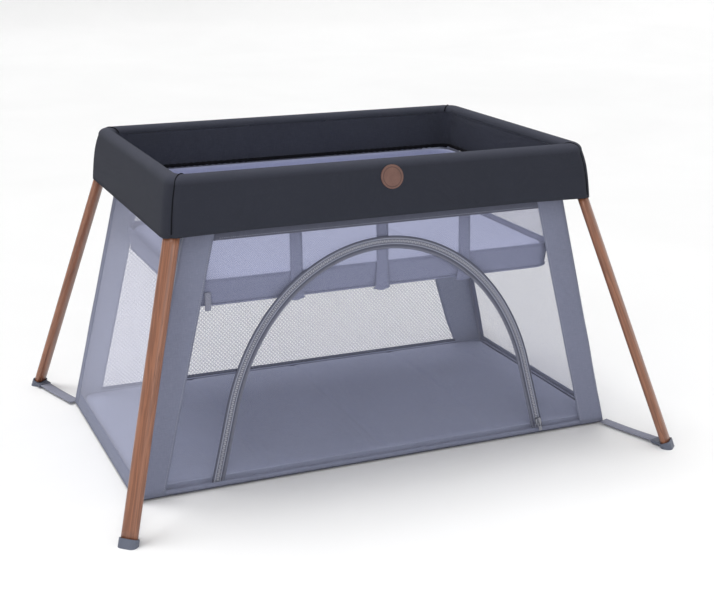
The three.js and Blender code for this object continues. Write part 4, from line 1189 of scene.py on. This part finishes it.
def basket_band(name, heights, extras, finish, thickness):
    """A band round the basket through rings at those heights and offsets."""
    rings = np.array([basket_ring(z, e) for z, e in zip(heights, extras)])
    run = lengths_along(np.concatenate([rings[0], rings[0][:1]]))[:-1]
    piece = clean(surface(name, rings, uv=cloth_map(heights, run)[..., ::-1], close_v=True))
    outwards(piece, (0, 0, sum(heights) / len(heights)))
    if thickness:
        wall_thickness(piece, thickness)
    return with_bassinet(piece, finish)


def hanging_strap(name, x, side):
    """One strap of the basket: a flat ribbon from the hung edge down over the tray's side, ending in a pointed tab
    below it. Its width is constant down to the tray and narrows to a point over the tab."""
    z = np.concatenate([np.linspace(0.546, 0.436, 10), np.linspace(0.432, 0.379, 6), np.linspace(0.376, 0.3705, 4)])
    half = np.concatenate([np.full(10, 0.013), np.linspace(0.013, 0.016, 6), np.array([0.019, 0.016, 0.009, 0.002])])
    y = np.where(z < 0.379, TRAY_Y - 0.002, hung(z, TRAY_Y, BASKET_Y) + 0.0016)
    c = np.linspace(-1, 1, 5)[None] * half[:, None]
    z, y = z[:, None] + 0 * c, y[:, None] + 0 * c
    piece = clean(surface(name, np.stack([x + c, side * y, z], -1), uv=np.stack([c, z], -1)))
    wall_thickness(outwards(piece, (x, 0, 0.45)), 0.0014)
    with_bassinet(piece, "basket")


def make_bassinet_loop():
    """The small webbing loop at the tray's front left corner: a flat ribbon doubled back on itself."""
    z = np.linspace(0.371, 0.409, 14)[:, None]
    bow = 0.0030 * np.sin(np.linspace(0, np.pi, 14))[:, None]
    c = np.linspace(-1, 1, 4)[None] * 0.0062
    points = np.stack([-0.372 + c + 0 * z, 0 * c - (TRAY_Y + 0.0005 + bow), z + 0 * c], -1)
    piece = surface("bassinet_pull_loop", points, uv=np.stack([c + 0 * z, z + 0 * c], -1))
    wall_thickness(outwards(piece, (-0.37, 0, 0.39)), 0.0012)
    with_bassinet(piece, "webbing")


def make_bassinet():
    """The tray's curved side, the netting above it, the bound top edge, welts, base, straps, loop and pad."""
    z = np.linspace(TRAY_LOW + 0.0015, TRAY_TOP, 7)
    curve = -0.0055 * (1 - np.sin(np.linspace(0.0, np.pi / 2, 7)))
    side = basket_band("bassinet_side_band", z, curve - 0.0005, "basket", 0.0014)
    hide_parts("bassinet_basket")
    z = np.linspace(TRAY_TOP, 0.526, 6)
    basket_band("bassinet_netting_side", z, [-0.0006] * 6, "net_basket", 0.0)
    z, extras = np.linspace(0.524, BASKET_TOP - 0.0005, 4), [0.0, 0.0004, 0.0004, 0.0]
    basket_band("bassinet_top_binding", z, extras, "basket_top", 0.0016)
    with_bassinet(closed_welt("bassinet_upper_welt", basket_ring(TRAY_TOP, -0.0012), 0.0016), "basket")
    with_bassinet(closed_welt("bassinet_lower_welt", basket_ring(TRAY_LOW + 0.003, -0.0052), 0.0018), "basket")
    share = np.linspace(0.0, 1, 14)[:, None, None]
    rings = basket_ring(TRAY_LOW + 0.0012, -0.0062)[None] * np.concatenate([share, share, np.ones_like(share)], 2)
    base = clean(surface("bassinet_base_panel", rings, uv=rings[..., :2], close_v=True))
    wall_thickness(outwards(base, (0, 0, 1.0)), 0.0012, 0.0)
    with_bassinet(base, "basket")
    for x, where in ((-0.187, "left"), (0.0, "middle"), (0.187, "right")):
        for sign, word in SIDES:
            hanging_strap(f"bassinet_{word}_{where}_strap", x, sign)
    make_bassinet_loop()
    pad = make_pad("bassinet_pad_cushion", 0.4030, 0.2615, 0.3812, 0.4285, 0.043, 0.012, 0.0062,
                   (-0.135, 0.135), 0.0035, 0.0020)
    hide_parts("bassinet_pad")
    with_bassinet(pad, "pad")


make_bassinet()


# ---------- foot straps ----------
def make_foot_straps():
    """Each strap is a thin webbing ribbon from the lug on its foot to the tub's lower corner, with a half sine of sag
    in the middle."""
    for ex, ey, corner in CORNERS:
        foot = np.array([ex * LEG_FOOT[0], ey * LEG_FOOT[1]])
        way = np.array([ex * 0.5405, ey * 0.2925]) - foot
        span = np.linalg.norm(way)
        way /= span
        s = np.linspace(0.0335, span - 0.0005, 26)
        t = (s - s[0]) / (s[-1] - s[0])
        z = 0.0078 + (0.0068 - 0.0078) * t - 0.0012 * np.sin(np.pi * t)
        c = np.linspace(-1, 1, 5) * 0.0125
        flat = foot + s[:, None, None] * way + c[None, :, None] * np.array([-way[1], way[0]])
        points = np.concatenate([flat, np.repeat(z[:, None, None], 5, 1)], 2)
        strap = surface(corner + "_strap_webbing", points, uv=cloth_map(s, c))
        wall_thickness(outwards(strap, (0, 0, -1)), 0.0016, 0.0)
        finish_as(strap, "webbing")
        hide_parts(corner + "_foot_strap")
        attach(strap, corner + "_leg")
        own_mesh(strap)


make_foot_straps()


# ---------- legs ----------
def store_grain_space(piece, origin, axes, shift):
    """Each point's place in the leg's own frame, across, deep and along, so that the grain runs along the leg. The
    shift along it gives each leg its own figure."""
    own = (read_rows(piece.data.vertices, "co") - origin) @ axes + (0, 0, shift)
    layer = piece.data.attributes.new("grain_space", "FLOAT_VECTOR", "POINT")
    layer.data.foreach_set("vector", np.ascontiguousarray(own, np.float32).ravel())


def make_legs():
    """Turned oval legs: a superellipse of power 2.3 carried straight from below each pivot to its foot, its long
    axis level and square to the leg's splay."""
    circle = oval(1.0, 1.0, 32)
    section = np.sign(circle) * np.abs(circle) ** (2 / 2.3) * (LEG_HALF_WIDTH, LEG_HALF_THICKNESS)
    for ex, ey, corner in CORNERS:
        pivot, foot = np.array(LEG_PIVOT) * (ex, ey, 1), np.array(LEG_FOOT) * (ex, ey, 1)
        down = foot - pivot
        length = np.linalg.norm(down)
        down /= length
        side = unit(np.array([-down[1], down[0], 0.0]))
        out = np.cross(side, down)
        line = pivot + np.linspace(LEG_TOP_GAP, length - LEG_FOOT_GAP, 24)[:, None] * down
        leg = swept(corner + "_oval_leg", line, out[None], side[None], section)
        store_grain_space(leg, pivot, np.stack([side, out, down], -1), 0.7 * ex + 0.3 * ey)
        finish_as(leg, "walnut")
        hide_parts(corner + "_leg")
        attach(leg, corner + "_leg")


make_legs()


# ---------- zip slider and pull ----------
for node_name in ("zip_slider", "zip_pull"):
    # a merged copy of each small casting, parented to that casting's own body
    casting = bpy.data.objects.new(node_name + "_casting", NODES[node_name].data.copy())
    bpy.context.scene.collection.objects.link(casting)
    finish_as(clean(casting), "zinc")
    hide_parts(node_name)
    follow_tub(casting, node_name)


# ---------- finishes of the hard parts ----------
NODE_FINISHES = {
    "foot_cap": "grey", "lock_button": "grey", "housing": "black", "knuckle": "black", "hinge_ear": "black",
    "pin": "pin", "hub": "black", "badge": "badge", "rail": "tube",
}
for node_name, node in NODES.items():
    if not node.hide_render:
        paint(node, PAINTS[next(finish for word, finish in NODE_FINISHES.items() if word in node_name)])
